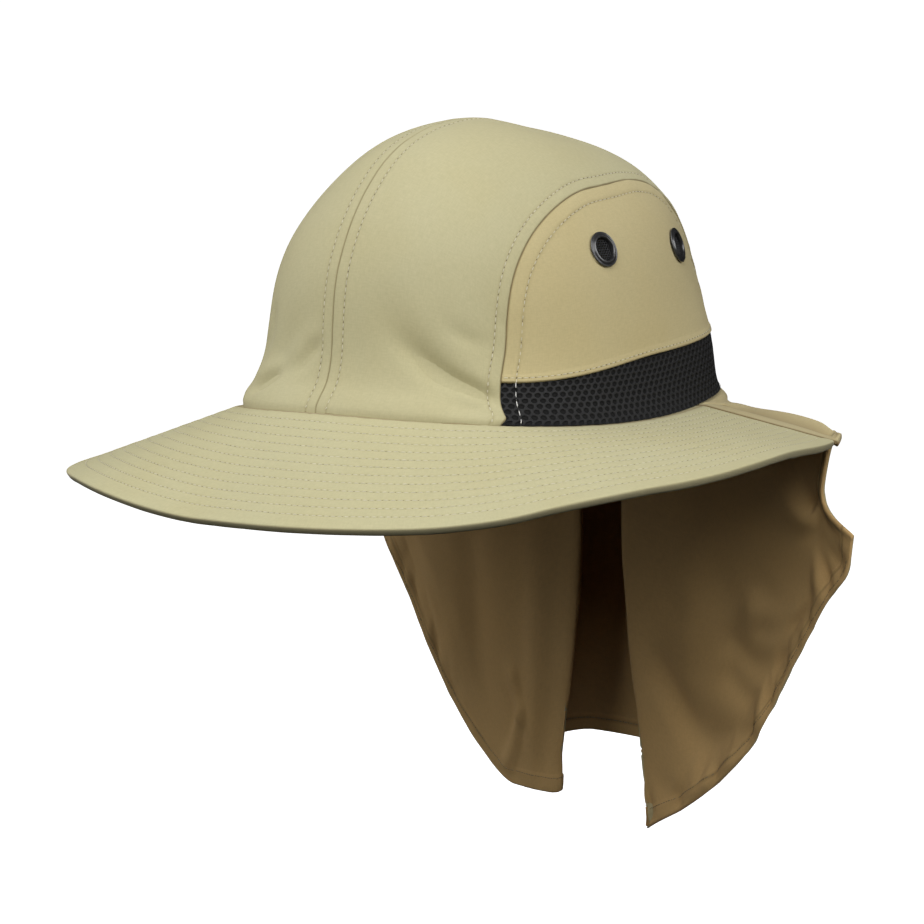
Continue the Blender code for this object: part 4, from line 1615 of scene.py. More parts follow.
@dataclass(frozen=True)
class StitchRule:
    """Rows of thread, each stitch with a flat dark oval as painted shade of its needle hole, laid along lines
    by Geometry Nodes.
    """

    pitch: float = 2.7 * MM
    length: float = 2.0 * MM
    width: float = 0.42 * MM
    hole: float = 0.50 * MM
    lift: float = 0.05 * MM
    smallest: tuple[float, float, float] = (0.85, 0.8, 0.7)
    largest: tuple[float, float, float] = (1.1, 1.15, 1.2)
    seed: int = 5

    def shape(self, sheet: GroupSheet, is_hole: bool) -> Socket:
        """Make one stitch, or the flat dark oval beside it that paints the needle hole's shade.

        Args:
            sheet: The tree.
            is_hole: Makes the needle hole's painted shade.

        Returns:
            The shape, marked as what it is.
        """
        given = sheet.given
        width = given["Hole width" if is_hole else "Thread width"]
        length = width if is_hole else given["Thread length"]
        segments, rings, flatness = (5, 3, 0.35) if is_hole else (6, 4, 0.8)
        ball = sheet.out("GeometryNodeMeshUVSphere", {"Segments": segments, "Rings": rings, "Radius": 0.5})
        size = sheet.join(length, width, sheet.math("MULTIPLY", width, flatness))
        place = sheet.join(sheet.math("MULTIPLY", given["Pitch"], 0.5 * is_hole), z=self.lift)
        laid = {"Geometry": ball, "Translation": place, "Scale": size}
        # The needle hole is a flat dark oval, marked so that it takes the painted shade finish.
        mark = {"Geometry": sheet.out("GeometryNodeTransform", laid), "Name": "needle_hole", "Value": is_hole}
        return sheet.out("GeometryNodeStoreNamedAttribute", mark, data_type="BOOLEAN", domain="FACE")

    def sheet(self, thread: Material, hole: Material) -> GroupSheet:
        """Build the tree.

        Args:
            thread: Finish of the thread.
            hole: Finish of the needle holes' painted shade.

        Returns:
            The tree, ready to run on rows.
        """
        sizes = {
            "Pitch": self.pitch, "Thread length": self.length, "Thread width": self.width,
            "Hole width": self.hole, "Seed": self.seed,
        }
        sheet = GroupSheet("stitch_rows", "Rows", "Stitches", sizes)
        curve = sheet.out("GeometryNodeMeshToCurve", {"Mesh": sheet.given["Rows"]})
        steps = {"Curve": curve, "Length": sheet.given["Pitch"]}
        points = sheet.out("GeometryNodeResampleCurve", steps, mode="LENGTH")
        align = "FunctionNodeAlignRotationToVector"
        upright = sheet.out(align, {"Vector": sheet.stored("lie", "FLOAT_VECTOR")}, axis="Z")
        ahead = {"Rotation": upright, "Vector": sheet.out("GeometryNodeInputTangent")}
        turned = sheet.out(align, ahead, axis="X", pivot_axis="Z")
        shapes = [self.shape(sheet, is_hole) for is_hole in (False, True)]
        joined = sheet.add("GeometryNodeJoinGeometry")
        for shape in shapes:
            sheet.give(joined.inputs[0], shape)
        shape = sheet.out("GeometryNodeSetShadeSmooth", {"Geometry": joined.outputs[0]})
        uneven = {"Min": self.smallest, "Max": self.largest, "Seed": sheet.given["Seed"]}
        scale = sheet.out("FunctionNodeRandomValue", uneven, data_type="FLOAT_VECTOR")
        laid = {"Points": points, "Instance": shape, "Rotation": turned, "Scale": scale}
        is_hole = sheet.stored("needle_hole", "BOOLEAN")
        stitches = sheet.out("GeometryNodeInstanceOnPoints", laid)
        sheet.end(stitches, {"Material": thread}, {"Selection": is_hole, "Material": hole})
        return sheet

    def sew(self, name: str, paths: list[Row], thread: Material, hole: Material) -> Piece:
        """Lay stitches along rows.

        Args:
            name: Name of the piece.
            paths: Each row's points and the cloth's normals there.
            thread: Finish of the thread.
            hole: Finish of the needle holes' painted shade.

        Returns:
            The stitches as one plain mesh.
        """
        edges, start = [], 0
        for path, _ in paths:
            edges += [(start + k, start + k + 1) for k in range(len(path) - 1)]
            start += len(path)
        piece = add_lines(name, np.concatenate([path for path, _ in paths]), edges)
        set_attribute(piece.data, "lie", np.concatenate([normal for _, normal in paths]))
        return self.sheet(thread, hole).run_on(piece)


@dataclass(frozen=True)
class NetRule:
    """Knitted net with staggered oval holes, laid on a band by Geometry Nodes."""

    across: float = 3.8 * MM
    rows: float = 2.35 * MM
    hole: float = 0.74
    depth: float = 0.6 * MM
    length: float = 176 * MM
    height: float = 27 * MM

    def cells(self, sheet: GroupSheet, y: Socket) -> Socket:
        """Make the six-sided cells of the flat net, with a corner near the origin.

        Args:
            sheet: The tree.
            y: The Y coordinate of what is being built.

        Returns:
            The cells.
        """
        given = sheet.given
        pitches = (given["Hole pitch"], given["Row pitch"])
        counts, sizes = [], []
        for length, pitch in zip((given["Length"], given["Height"]), pitches):
            steps = sheet.math("ADD", sheet.math("ROUND", sheet.math("DIVIDE", length, pitch)), 2.0)
            counts.append(sheet.math("ADD", steps, 1.0))
            sizes.append(sheet.math("MULTIPLY", steps, pitch))
        grid = {"Size X": sizes[0], "Size Y": sizes[1], "Vertices X": counts[0], "Vertices Y": counts[1]}
        half_x, half_y = (sheet.math("MULTIPLY", size, 0.5) for size in sizes)
        row = sheet.math("ROUND", sheet.math("DIVIDE", sheet.math("ADD", y, half_y), pitches[1]))
        odd = sheet.math("MULTIPLY", sheet.math("MODULO", row, 2.0), 0.5)
        shift_x = sheet.math("SUBTRACT", half_x, pitches[0])
        shift_x = sheet.math("ADD", shift_x, sheet.math("MULTIPLY", odd, pitches[0]))
        shift_y = sheet.math("SUBTRACT", half_y, sheet.math("MULTIPLY", pitches[1], 0.5))
        moved = {"Geometry": sheet.out("GeometryNodeMeshGrid", grid), "Offset": sheet.join(shift_x, shift_y)}
        staggered = {"Mesh": sheet.out("GeometryNodeSetPosition", moved)}
        triangles = sheet.out("GeometryNodeTriangulate", staggered, quad_method="SHORTEST_DIAGONAL")
        return sheet.out("GeometryNodeDualMesh", {"Mesh": triangles})

    def strands(self, sheet: GroupSheet, cells: Socket) -> Socket:
        """Open each cell and give the strands round it their depth.

        Args:
            sheet: The tree.
            cells: The flat cells.

        Returns:
            The flat net.
        """
        extrude, faces = "GeometryNodeExtrudeMesh", {"mode": "FACES"}
        ring = sheet.add(extrude, {"Mesh": cells, "Offset Scale": 0.0, "Individual": True}, **faces).outputs
        hole = {"Geometry": ring["Mesh"], "Selection": ring["Top"], "Scale": sheet.given["Hole share"]}
        shrunk = sheet.out("GeometryNodeScaleElements", hole, domain="FACE")
        down = sheet.join(z=sheet.math("MULTIPLY", sheet.given["Strand depth"], -1.0))
        wall = {"Mesh": shrunk, "Selection": ring["Top"], "Offset": down, "Offset Scale": 1.0}
        walls = sheet.add(extrude, {**wall, "Individual": True}, **faces).outputs
        gone = {"Geometry": walls["Mesh"], "Selection": walls["Top"]}
        open_net = sheet.out("GeometryNodeDeleteGeometry", gone, domain="FACE")
        return sheet.out("GeometryNodeSubdivisionSurface", {"Mesh": open_net, "Level": 1})

    def sample(self, sheet: GroupSheet, value: Socket, kind: str, where: Socket) -> Socket:
        """Read one of the band's values at a place of its map.

        Args:
            sheet: The tree.
            value: The value on the band.
            kind: Blender's name of the value's type.
            where: The place on the band's map.

        Returns:
            The value there.
        """
        place = sheet.stored("place", "FLOAT_VECTOR")
        sockets = {"Mesh": sheet.given["Band"], "Value": value, "UV Map": place, "Sample UV": where}
        return sheet.out("GeometryNodeSampleUVSurface", sockets, data_type=kind)

    def sheet(self, finish: Material) -> GroupSheet:
        """Build the tree.

        Args:
            finish: Finish of the strands.

        Returns:
            The tree, ready to run on a band.
        """
        sizes = {
            "Hole pitch": self.across, "Row pitch": self.rows, "Hole share": self.hole,
            "Strand depth": self.depth, "Length": self.length, "Height": self.height,
        }
        sheet = GroupSheet("knitted_net", "Band", "Net", sizes)
        here = sheet.out("GeometryNodeInputPosition")
        x, y, z = sheet.add("ShaderNodeSeparateXYZ", {0: here}).outputs
        length, cells = sheet.given["Length"], self.cells(sheet, y)
        along = sheet.out("ShaderNodeClamp", {0: sheet.math("DIVIDE", x, length)})
        rise = self.sample(sheet, sheet.stored("band_rise", "FLOAT"), "FLOAT", sheet.join(along, 0.5))
        half = sheet.math("MULTIPLY", length, 0.5)
        from_middle = sheet.math("ABSOLUTE", sheet.math("SUBTRACT", x, half))
        above, outside = (sheet.math("GREATER_THAN", *pair) for pair in ((y, rise), (from_middle, half)))
        gone = {"Geometry": cells, "Selection": sheet.math("MAXIMUM", above, outside)}
        cells = sheet.out("GeometryNodeDeleteGeometry", gone, domain="FACE")
        net = self.strands(sheet, cells)
        where = sheet.join(along, sheet.out("ShaderNodeClamp", {0: sheet.math("DIVIDE", y, rise)}))
        lie, spot = (
            self.sample(sheet, value, "FLOAT_VECTOR", where)
            for value in (sheet.stored("lie", "FLOAT_VECTOR"), sheet.out("GeometryNodeInputPosition"))
        )
        lifted = sheet.out("ShaderNodeVectorMath", {0: lie, "Scale": z}, operation="SCALE")
        moved = {"Geometry": net, "Position": sheet.vector("ADD", spot, lifted)}
        net = sheet.out("GeometryNodeSetPosition", moved)
        sheet.end(sheet.out("GeometryNodeSetShadeSmooth", {"Geometry": net}), {"Material": finish})
        return sheet

    def lay(self, band: Piece, finish: Material) -> Piece:
        """Turn a band's surface into the net that lies on it."""
        return self.sheet(finish).run_on(band)


@dataclass
class Eyelet:
    """Turned black eyelet with a fine screen across its bore."""

    name: str
    centre: Array
    normal: Array
    sides: int = 56
    screen_wires: int = 11
    screen_radius: float = 4.75 * MM
    screen_depth: float = 0.2 * MM
    wire_radius: float = 0.17 * MM
    front: tuple[tuple[float, float], ...] = (
        (5.05, -0.9), (5.05, 0.35), (6.6, 0.32), (6.92, 0.42), (7.0, 0.68), (6.95, 0.9), (6.78, 1.04),
        (6.55, 1.02), (6.4, 0.93), (6.2, 1.0), (5.9, 1.24), (5.55, 1.45), (5.2, 1.55), (4.95, 1.53),
        (4.75, 1.42), (4.64, 1.2), (4.6, 0.7), (4.6, -1.9),
    )
    back: tuple[tuple[float, float], ...] = (
        (4.66, -2.25), (4.9, -2.45), (6.3, -2.5), (6.85, -2.4), (7.0, -2.2), (6.9, -2.02), (5.2, -1.98),
    )

    def frame(self) -> Matrix:
        """Turn and place of the eyelet."""
        return standing(self.centre, self.normal)

    def ring(self, finish: Material) -> Piece:
        """Make the turned flange, barrel and washer.

        Args:
            finish: Finish of the piece.

        Returns:
            The new object.
        """
        profile = np.array(self.front + self.back) * MM
        angles = np.linspace(0, 2 * np.pi, self.sides, endpoint=False)
        around = (np.cos(angles), np.sin(angles))
        level = [np.outer(way, profile[:, 0]) for way in around]
        spots = np.stack([*level, np.outer(np.ones(self.sides), profile[:, 1])], -1)
        matrix = np.array(self.frame())
        points = spots.reshape(-1, 3) @ matrix[:3, :3].T + matrix[:3, 3]
        count = len(profile)
        step, corner = np.meshgrid(np.arange(self.sides), np.arange(count), indexing="ij")
        after, beside = (step + 1) % self.sides, (corner + 1) % count
        here, there = step * count, after * count
        corners = (here + corner, here + beside, there + beside, there + corner)
        faces = np.stack(corners, -1).reshape(-1, 4).tolist()
        return face_outward(add_piece(self.name + "_ring", points, faces, finish))

    def screen(self, finish: Material) -> Piece:
        """Make the fine wire screen by Geometry Nodes.

        Args:
            finish: Finish of the wire.

        Returns:
            The new object.
        """
        sizes = {"Radius": self.screen_radius, "Wires": self.screen_wires, "Wire radius": self.wire_radius}
        sheet = GroupSheet("eyelet_screen", "Seat", "Screen", sizes)
        radius, wires = sheet.given["Radius"], sheet.given["Wires"]
        size = sheet.math("MULTIPLY", radius, 2.0)
        grid = {"Size X": size, "Size Y": size, "Vertices X": wires, "Vertices Y": wires}
        here = {0: sheet.out("GeometryNodeInputPosition")}
        out = sheet.add("ShaderNodeVectorMath", here, operation="LENGTH").outputs["Value"]
        beyond = sheet.math("GREATER_THAN", out, radius)
        far = {"Geometry": sheet.out("GeometryNodeMeshGrid", grid), "Selection": beyond}
        net = sheet.out("GeometryNodeDeleteGeometry", far, domain="POINT")
        section = {"Resolution": 5, "Radius": sheet.given["Wire radius"]}
        drawn = {
            "Curve": sheet.out("GeometryNodeMeshToCurve", {"Mesh": net}),
            "Profile Curve": sheet.out("GeometryNodeCurvePrimitiveCircle", section),
        }
        sheet.end(sheet.out("GeometryNodeCurveToMesh", drawn), {"Material": finish})
        piece = sheet.run_on(add_lines(self.name + "_screen", [(0, 0, 0)], []))
        piece.data.transform(self.frame() @ Matrix.Translation((0, 0, -self.screen_depth)))
        return piece

    def build(self, wardrobe: Wardrobe) -> None:
        """Make and fix the ring and its screen."""
        fix_to_hat(self.ring(wardrobe.enamel), Slot.ENAMEL, self.name)
        fix_to_hat(self.screen(wardrobe.screen), Slot.ENAMEL)


@dataclass(frozen=True)
class BrimSection:
    """The brim at one azimuth: its share of the full width and its slope."""

    azimuth: float
    width: float
    droop: float


@dataclass
class Brim:
    """The stitched brim, from one rear corner round the front to the other."""

    crown: CrownForm
    soft_crown: CrownForm
    width: float = 72.0 * MM
    thickness: float = 2.6 * MM
    ledge: float = 1.5 * MM
    rear_azimuth: float = 118.0
    mesh_cloth: float = 1.6 * MM
    allowance: float = 3.0 * MM
    stitch_rows: int = 13
    first_row: float = 8.0 / ROWS_WIDTH
    row_step: float = 5.1 / ROWS_WIDTH
    groove: float = 0.20 * MM
    puff: float = 0.08 * MM
    upper_edge: float = 0.30 * MM
    lower_edge: float = 0.95 * MM
    undercut: float = 0.8 * MM
    # Strengths of the painted shade on the outer edge face, in the stitch rows and at the crown seam.
    edge_shade: float = 0.34
    row_shade: float = 0.22
    seam_shade: float = 0.9
    flat_radius: float = 0.13
    under_shift: float = 0.3
    columns: int = 380
    sections: tuple[BrimSection, ...] = (
        BrimSection(-118, 0.79, 7), BrimSection(-90, 0.95, 12), BrimSection(-60, 1.02, 19),
        BrimSection(-30, 1.00, 21), BrimSection(0, 0.97, 30), BrimSection(30, 1.02, 26),
        BrimSection(60, 1.03, 12), BrimSection(90, 0.93, 7), BrimSection(118, 0.79, 12),
    )

    def point(self, degrees: Array, share: Array) -> Array:
        """Point of the upper face by azimuth and share of the width.

        Args:
            degrees: Azimuth in degrees.
            share: Share of the width, from the crown.

        Returns:
            The point at each place.
        """
        places = [section.azimuth for section in self.sections]
        width = self.width * smooth_rows(places, [s.width for s in self.sections], degrees)
        droop = np.radians(smooth_rows(places, [s.droop for s in self.sections], degrees))
        azimuth = np.radians(degrees)
        start = self.crown.base_point(azimuth) - np.array([0.0, 0.0, self.crown.gap])
        run = share * width
        ledge = np.clip(run, -8 * MM, self.ledge)
        level = ledge + (run - ledge) * np.cos(droop)
        drop = (run - ledge) * np.sin(droop)
        down = np.stack([np.zeros_like(drop), np.zeros_like(drop), drop], -1)
        return start + self.crown.base_normal(azimuth) * level[..., None] - down

    def set_in(self, azimuth: Array) -> Array:
        """How far the seam allowance reaches in past the plain crown's base, in metres.

        Args:
            azimuth: Azimuth in radians.

        Returns:
            The reach at each azimuth.
        """
        change = self.crown.base_point(azimuth) - self.soft_crown.base_point(azimuth)
        inward = np.sum(change * self.crown.base_normal(azimuth), axis=-1)
        return self.allowance + np.clip(inward, 0, None)

    def row_shares(self) -> Array:
        """Shares from the outer edge, 0, to the crown seam, of the stitch rows."""
        return self.first_row + self.row_step * np.arange(self.stitch_rows)

    def from_row(self, from_edge: Array) -> Array:
        """Distance from the nearest stitch row, as a share of the width."""
        return np.abs(from_edge[..., None] - self.row_shares()).min(axis=-1)

    def sewn(self, degrees: Array) -> Array:
        """How much the quilting shows: nothing at the rear ends, all elsewhere."""
        return ease((self.rear_azimuth - 1.2 - np.abs(degrees)) / 2.0)

    def shade(self, share: Array, degrees: Array) -> Array:
        """Painted shade of the rows, the crown seam and the outer edge face.

        Args:
            share: Share of the width, from the crown.
            degrees: Azimuth in degrees.

        Returns:
            The painted shade, from 0 to 1.
        """
        depth = 1 - share
        rows = self.row_shade * bell(self.from_row(depth), 0.42 / ROWS_WIDTH) * self.sewn(degrees)
        seam = self.seam_shade * bell(share - 0.004, 0.9 / ROWS_WIDTH)
        edge = self.edge_shade * (1 - ease((depth - 0.15 / ROWS_WIDTH) / (0.6 / ROWS_WIDTH)))
        return np.maximum(np.maximum(rows, seam), edge)

    def shares(self) -> Array:
        """Shares from the outer edge of all the grid's rows.

        Returns:
            The shares, rising.
        """
        edge = np.array([0, 0.05, 0.18, 0.4, 0.75, 1.2, 1.9, 2.9, 4.2, 5.6, 6.7, 7.3]) / ROWS_WIDTH
        rows = [edge]
        for place in self.row_shares():
            rows.append(place + np.array([-0.35, 0, 0.35, 0.9, 2.55, 4.2]) / ROWS_WIDTH)
        found = np.concatenate(rows)
        end = 1 + self.mesh_cloth / self.width
        return np.append(found[found < end - 0.5 / ROWS_WIDTH], end)

    def relief(self, from_edge: Array, degrees: Array, edge_puff: float, seed: int) -> Array:
        """Half thickness of the quilted cloth.

        Args:
            from_edge: Shares of the width from the outer edge.
            degrees: Azimuths.
            edge_puff: How much the outer edge swells.
            seed: Seed of the unevenness.

        Returns:
            Height over the middle of the brim, in metres.
        """
        reach = 0.8 / ROWS_WIDTH
        round_edge = np.clip(1 - np.clip(1 - from_edge / reach, 0, 1) ** 3.0, 0, 1) ** (1 / 3.0)
        beyond = (from_edge - 4.5 / ROWS_WIDTH) / (3.0 / ROWS_WIDTH)
        bulge = ease(0.25 + from_edge / (2.4 / ROWS_WIDTH)) * (1 - ease(beyond))
        bulge = edge_puff * bulge * (0.85 + 0.15 * soft_noise(degrees / 3, 0 * degrees, seed))
        height = (0.5 * self.thickness + bulge) * round_edge
        rows = self.row_shares()
        place = (from_edge - rows[0]) / self.row_step
        inside = (from_edge > rows[0]) & (from_edge < rows[-1])
        sewn = self.sewn(degrees)
        height = height + sewn * np.where(inside, self.puff * np.sin(np.pi * (place % 1.0)) ** 2, 0)
        uneven = 0.75 + 0.35 * soft_noise(degrees * 1.4, from_edge * 12, seed + 1)
        height = height - sewn * self.groove * bell(self.from_row(from_edge), 0.5 / ROWS_WIDTH) * uneven
        height = height - 0.5 * MM * ease(1 - (self.rear_azimuth - np.abs(degrees)) / 0.7)
        ripple = 0.09 * MM * soft_noise(degrees * 0.9, from_edge * 9, seed + 2)
        ripple = ripple + 0.05 * MM * soft_noise(degrees * 2.4, from_edge * 14, seed + 3)
        return height + ripple * ease(from_edge / (2.5 / ROWS_WIDTH))

    def build(self, finish: Material) -> tuple[Piece, list[Row]]:
        """Make the brim.

        Args:
            finish: Finish of the piece.

        Returns:
            The piece, and its stitch rows on the upper face.
        """
        ends = np.array([0.0, 0.2, 0.45, 0.7, 1.2])
        middle = np.linspace(-self.rear_azimuth + 1.8, self.rear_azimuth - 1.8, self.columns - 2 * len(ends))
        degrees = np.concatenate([ends - self.rear_azimuth, middle, self.rear_azimuth - ends[::-1]])
        from_edge = self.shares()
        share = 1 - from_edge[:, None] + 0 * degrees
        share[-1] = -self.set_in(np.radians(degrees)) / self.width
        angle = degrees[None, :] + 0 * share
        top = self.point(angle, share)
        normals = grid_normals(top)
        if np.sum(normals[..., 2]) < 0:
            normals = -normals
        middle = top - normals * self.thickness / 2
        depth = 1 - share
        upper = middle + normals * self.relief(depth, angle, self.upper_edge, 91)[..., None]
        lower = middle - normals * self.relief(depth, angle, self.lower_edge, 191)[..., None]
        rise = self.relief(depth, angle, 0.0, 91) / (0.5 * self.thickness)
        inward = -self.crown.base_normal(np.radians(degrees))
        near_edge = 1 - ease((depth - 1.4 / ROWS_WIDTH) / (6.0 / ROWS_WIDTH))
        rise = np.clip(rise, 0, 1)
        upper = upper + inward * (0.5 * self.undercut * (1 - rise) * near_edge)[..., None]
        lower = lower + inward * (0.5 * self.undercut * (1 + rise) * near_edge)[..., None]
        loop = np.concatenate([upper[::-1], lower[1:]])
        flat = np.stack([angle / 180 * np.pi * self.flat_radius, share * self.width], -1)
        sheet_uv = np.concatenate([flat[::-1], flat[1:] + self.under_shift])
        shade = self.shade(share, angle)
        crease = np.concatenate([shade[::-1], shade[1:]])
        piece = self.closed(loop, sheet_uv, crease, finish)
        paths = []
        for place in self.row_shares():
            row = int(np.argmin(np.abs(from_edge - place)))
            if share[row, 0] * self.width > 1.2 * MM:
                paths.append((upper[row, 6:-6], normals[row, 6:-6]))
        return piece, paths

    def closed(self, loop: Array, uv: Array, crease: Array, finish: Material) -> Piece:
        """Close the loop of the brim's section at the crown seam and at both ends.

        Args:
            loop: Grid of points: round the section, and along the brim.
            uv: Flat place of each point.
            crease: Painted shade of each point.
            finish: Finish of the piece.

        Returns:
            The new object.
        """
        rows, columns = loop.shape[:2]
        index = np.arange(rows * columns).reshape(rows, columns)
        below = np.roll(index, -1, axis=0)
        skin = np.stack([index[:, :-1], index[:, 1:], below[:, 1:], below[:, :-1]], -1).reshape(-1, 4)
        half = rows // 2
        caps = []
        for column, turned in ((0, False), (columns - 1, True)):
            for k in range(half):
                quad = index[[k, k + 1, rows - 2 - k, rows - 1 - k], column]
                quad = list(dict.fromkeys(int(corner) for corner in quad))
                caps.append(quad[::-1] if turned else quad)
        faces = skin.tolist() + [cap for cap in caps if len(cap) > 2]
        piece = face_outward(add_piece("brim_cloth", loop.reshape(-1, 3), faces, finish))
        set_uv(piece.data, uv.reshape(-1, 2))
        set_attribute(piece.data, "crease", crease.ravel())
        return piece


@dataclass(frozen=True)
class CapeRib:
    """One rib of a cape half: places of its ridge, neck and hem.

    Column is the place across the cloth and seam the place along the sewn edge.  The
    others are shares of the cape's half width, depth and drop.
    """

    column: float
    seam: float
    ridge: tuple[float, float, float]
    neck: tuple[float, float, float]
    hem: tuple[float, float, float]
    hem_right: float


@dataclass(frozen=True)
class Fold:
    """A soft fold of the hanging cloth, from one place to another.

    Places are column (0 to 2 across the cape) and share of the drop.  Height is
    positive toward the outside of the hat.
    """

    start: tuple[float, float]
    end: tuple[float, float]
    reach: float
    height: float


@dataclass(frozen=True)
class Wave:
    """Soft seeded waves of cloth: their lengths both ways, height and seed."""

    along: float
    across: float
    height: float
    seed: int

    def at(self, u: Array, v: Array) -> Array:
        """Height of the waves at a place."""
        return self.height * soft_noise(u / self.along, v / self.across, self.seed)


@dataclass(frozen=True)
class HemRule:
    """A turned and sewn edge: its width, padding, stitch row and painted shade in the row."""

    width: float
    padding: float
    row_in: float
    shade: float
    round_reach: float = 0.9 * MM
    thinnest: float = 0.04
    groove: float = 0.3 * MM
    groove_reach: float = 0.5 * MM

    def rounding(self, distance: Array) -> Array:
        """Share of the thickness that is left toward the edge."""
        inside = np.clip(distance / self.round_reach, 0, 1)
        return np.sqrt(np.clip(1 - (1 - inside) ** 2, self.thinnest, 1))

    def pad(self, distance: Array) -> Array:
        """Extra half thickness of the turned cloth."""
        return self.padding * (1 - ease((distance - self.width) / self.round_reach))

    def row(self, distance: Array) -> Array:
        """Depth of the groove along the stitch row."""
        return self.groove * bell(distance - self.width + self.row_in, self.groove_reach)


@dataclass(frozen=True)
class ClothMap:
    """Where each grid point of a cloth lies: columns, rows and lengths both ways."""

    places: Array
    down: Array
    length: Array
    across: Array

    @property
    def from_hem(self) -> Array:
        """Length to the hem."""
        return self.length[-1] - self.length

    @property
    def from_side(self) -> Array:
        """Length to the nearer side."""
        return np.minimum(self.across, self.across[:, -1:] - self.across)

    @property
    def run(self) -> Array:
        """Length along the hem."""
        return self.across[-1][None, :] + 0 * self.across


@dataclass
class NeckCape:
    """Cape with two hanging wings and a deep pleat between them at the back."""

    brim: Brim
    half_width: float = 120.0 * MM
    depth: float = 110.0 * MM
    drop: float = 180.0 * MM
    seam_ledge: float = 3.0 * MM
    rear_ledge: float = 0.8 * MM
    rear_drop: float = 1.6 * MM
    cloth: float = 1.2 * MM
    columns: int = 330
    rows: int = 120
    hem: HemRule = HemRule(6.5 * MM, 0.45 * MM, 0.8 * MM, 0.45)
    side_hem: HemRule = HemRule(2.6 * MM, 0.70 * MM, 0.6 * MM, 0.8)
    swells: tuple[Wave, ...] = (Wave(30 * MM, 55 * MM, 1.3 * MM, 307), Wave(11 * MM, 19 * MM, 0.35 * MM, 309))
    pucker_waves: tuple[Wave, ...] = (Wave(8.5 * MM, 22 * MM, 1.0, 301), Wave(4.6 * MM, 15 * MM, 0.6, 303))
    puckers: tuple[float, float] = (2.3 * MM, 0.6 * MM)
    pucker_at: float = 7.0 * MM
    pucker_reach: float = 8.5 * MM
    side_waves: Wave = Wave(7 * MM, 20 * MM, 0.8 * MM, 305)
    side_wave_shares: tuple[float, float] = (0.8, 0.2)
    flat: tuple[float, float] = (0.42, 0.20)
    flat_area: float = 0.060
    stations: tuple[float, ...] = (0.0, 0.05, 0.17, 0.33, 1.0)
    ribs: tuple[CapeRib, ...] = (
        CapeRib(0.00, 0.00, (0.99, 0.71, 0.075), (0.935, 0.710, 0.198), (1.055, 0.71, 0.288), 0.275),
        CapeRib(0.06, 0.04, (0.97, 0.71, 0.064), (0.915, 0.712, 0.208), (1.030, 0.71, 0.372), 0.380),
        CapeRib(0.14, 0.11, (0.92, 0.72, 0.048), (0.885, 0.715, 0.230), (0.955, 0.71, 0.440), 0.470),
        CapeRib(0.26, 0.23, (0.78, 0.73, 0.034), (0.780, 0.715, 0.235), (0.815, 0.71, 0.598), 0.635),
        CapeRib(0.38, 0.37, (0.61, 0.73, 0.028), (0.610, 0.718, 0.235), (0.625, 0.71, 0.812), 0.830),
        CapeRib(0.50, 0.52, (0.50, 0.76, 0.025), (0.430, 0.718, 0.240), (0.390, 0.71, 0.947), 0.968),
        CapeRib(0.64, 0.68, (0.38, 0.89, 0.030), (0.120, 0.712, 0.250), (0.230, 0.72, 1.008), 0.975),
        CapeRib(0.67, 0.72, (0.34, 0.91, 0.030), (0.092, 0.728, 0.250), (0.192, 0.735, 1.022), 0.970),
        CapeRib(0.70, 0.76, (0.31, 0.93, 0.030), (0.125, 0.755, 0.250), (0.225, 0.76, 1.005), 0.952),
        CapeRib(0.82, 0.85, (0.27, 0.96, 0.030), (0.370, 0.900, 0.240), (0.385, 0.89, 0.910), 0.880),
        CapeRib(0.91, 0.92, (0.15, 1.01, 0.028), (0.210, 0.985, 0.235), (0.220, 0.975, 0.865), 0.845),
        CapeRib(1.00, 1.00, (0.00, 1.03, 0.028), (0.000, 1.015, 0.235), (0.000, 1.000, 0.850), 0.850),
    )
    folds: tuple[Fold, ...] = (
        Fold((0.41, 0.66), (0.30, 0.88), 4.5 * MM, 1.4 * MM),
        Fold((0.58, 0.68), (0.44, 0.90), 6.5 * MM, 2.6 * MM),
        Fold((0.41, 0.75), (0.365, 0.87), 3.5 * MM, 1.0 * MM),
        Fold((0.33, 0.69), (0.24, 0.84), 4.5 * MM, 1.4 * MM),
        Fold((0.36, 0.60), (0.28, 0.78), 6.0 * MM, -1.6 * MM),
        Fold((0.36, 0.22), (0.16, 0.40), 7.0 * MM, -1.8 * MM),
        Fold((0.30, 0.20), (0.12, 0.33), 5.0 * MM, 1.3 * MM),
        Fold((0.52, 0.30), (0.50, 0.60), 9.0 * MM, -1.6 * MM),
        Fold((1.495, 0.76), (1.465, 0.83), 3.2 * MM, -1.5 * MM),
        Fold((1.465, 0.84), (1.51, 0.95), 3.2 * MM, -1.5 * MM),
        Fold((1.43, 0.42), (1.43, 0.85), 9.0 * MM, -2.2 * MM),
        Fold((1.62, 0.45), (1.58, 0.80), 8.0 * MM, 1.4 * MM),
    )
    fold_strength: float = 1.5
    trough: float = 3.2 * MM
    trough_at: float = 0.122
    trough_width: float = 0.026

    def ledge_window(self, places: Array) -> Array:
        """Where the cape's ledge lies behind the brim: 1 there and 0 elsewhere."""
        side = 1 - np.abs(1 - places)
        return ease((side - 0.02) / 0.05) * (1 - ease((side - 0.33) / 0.05))

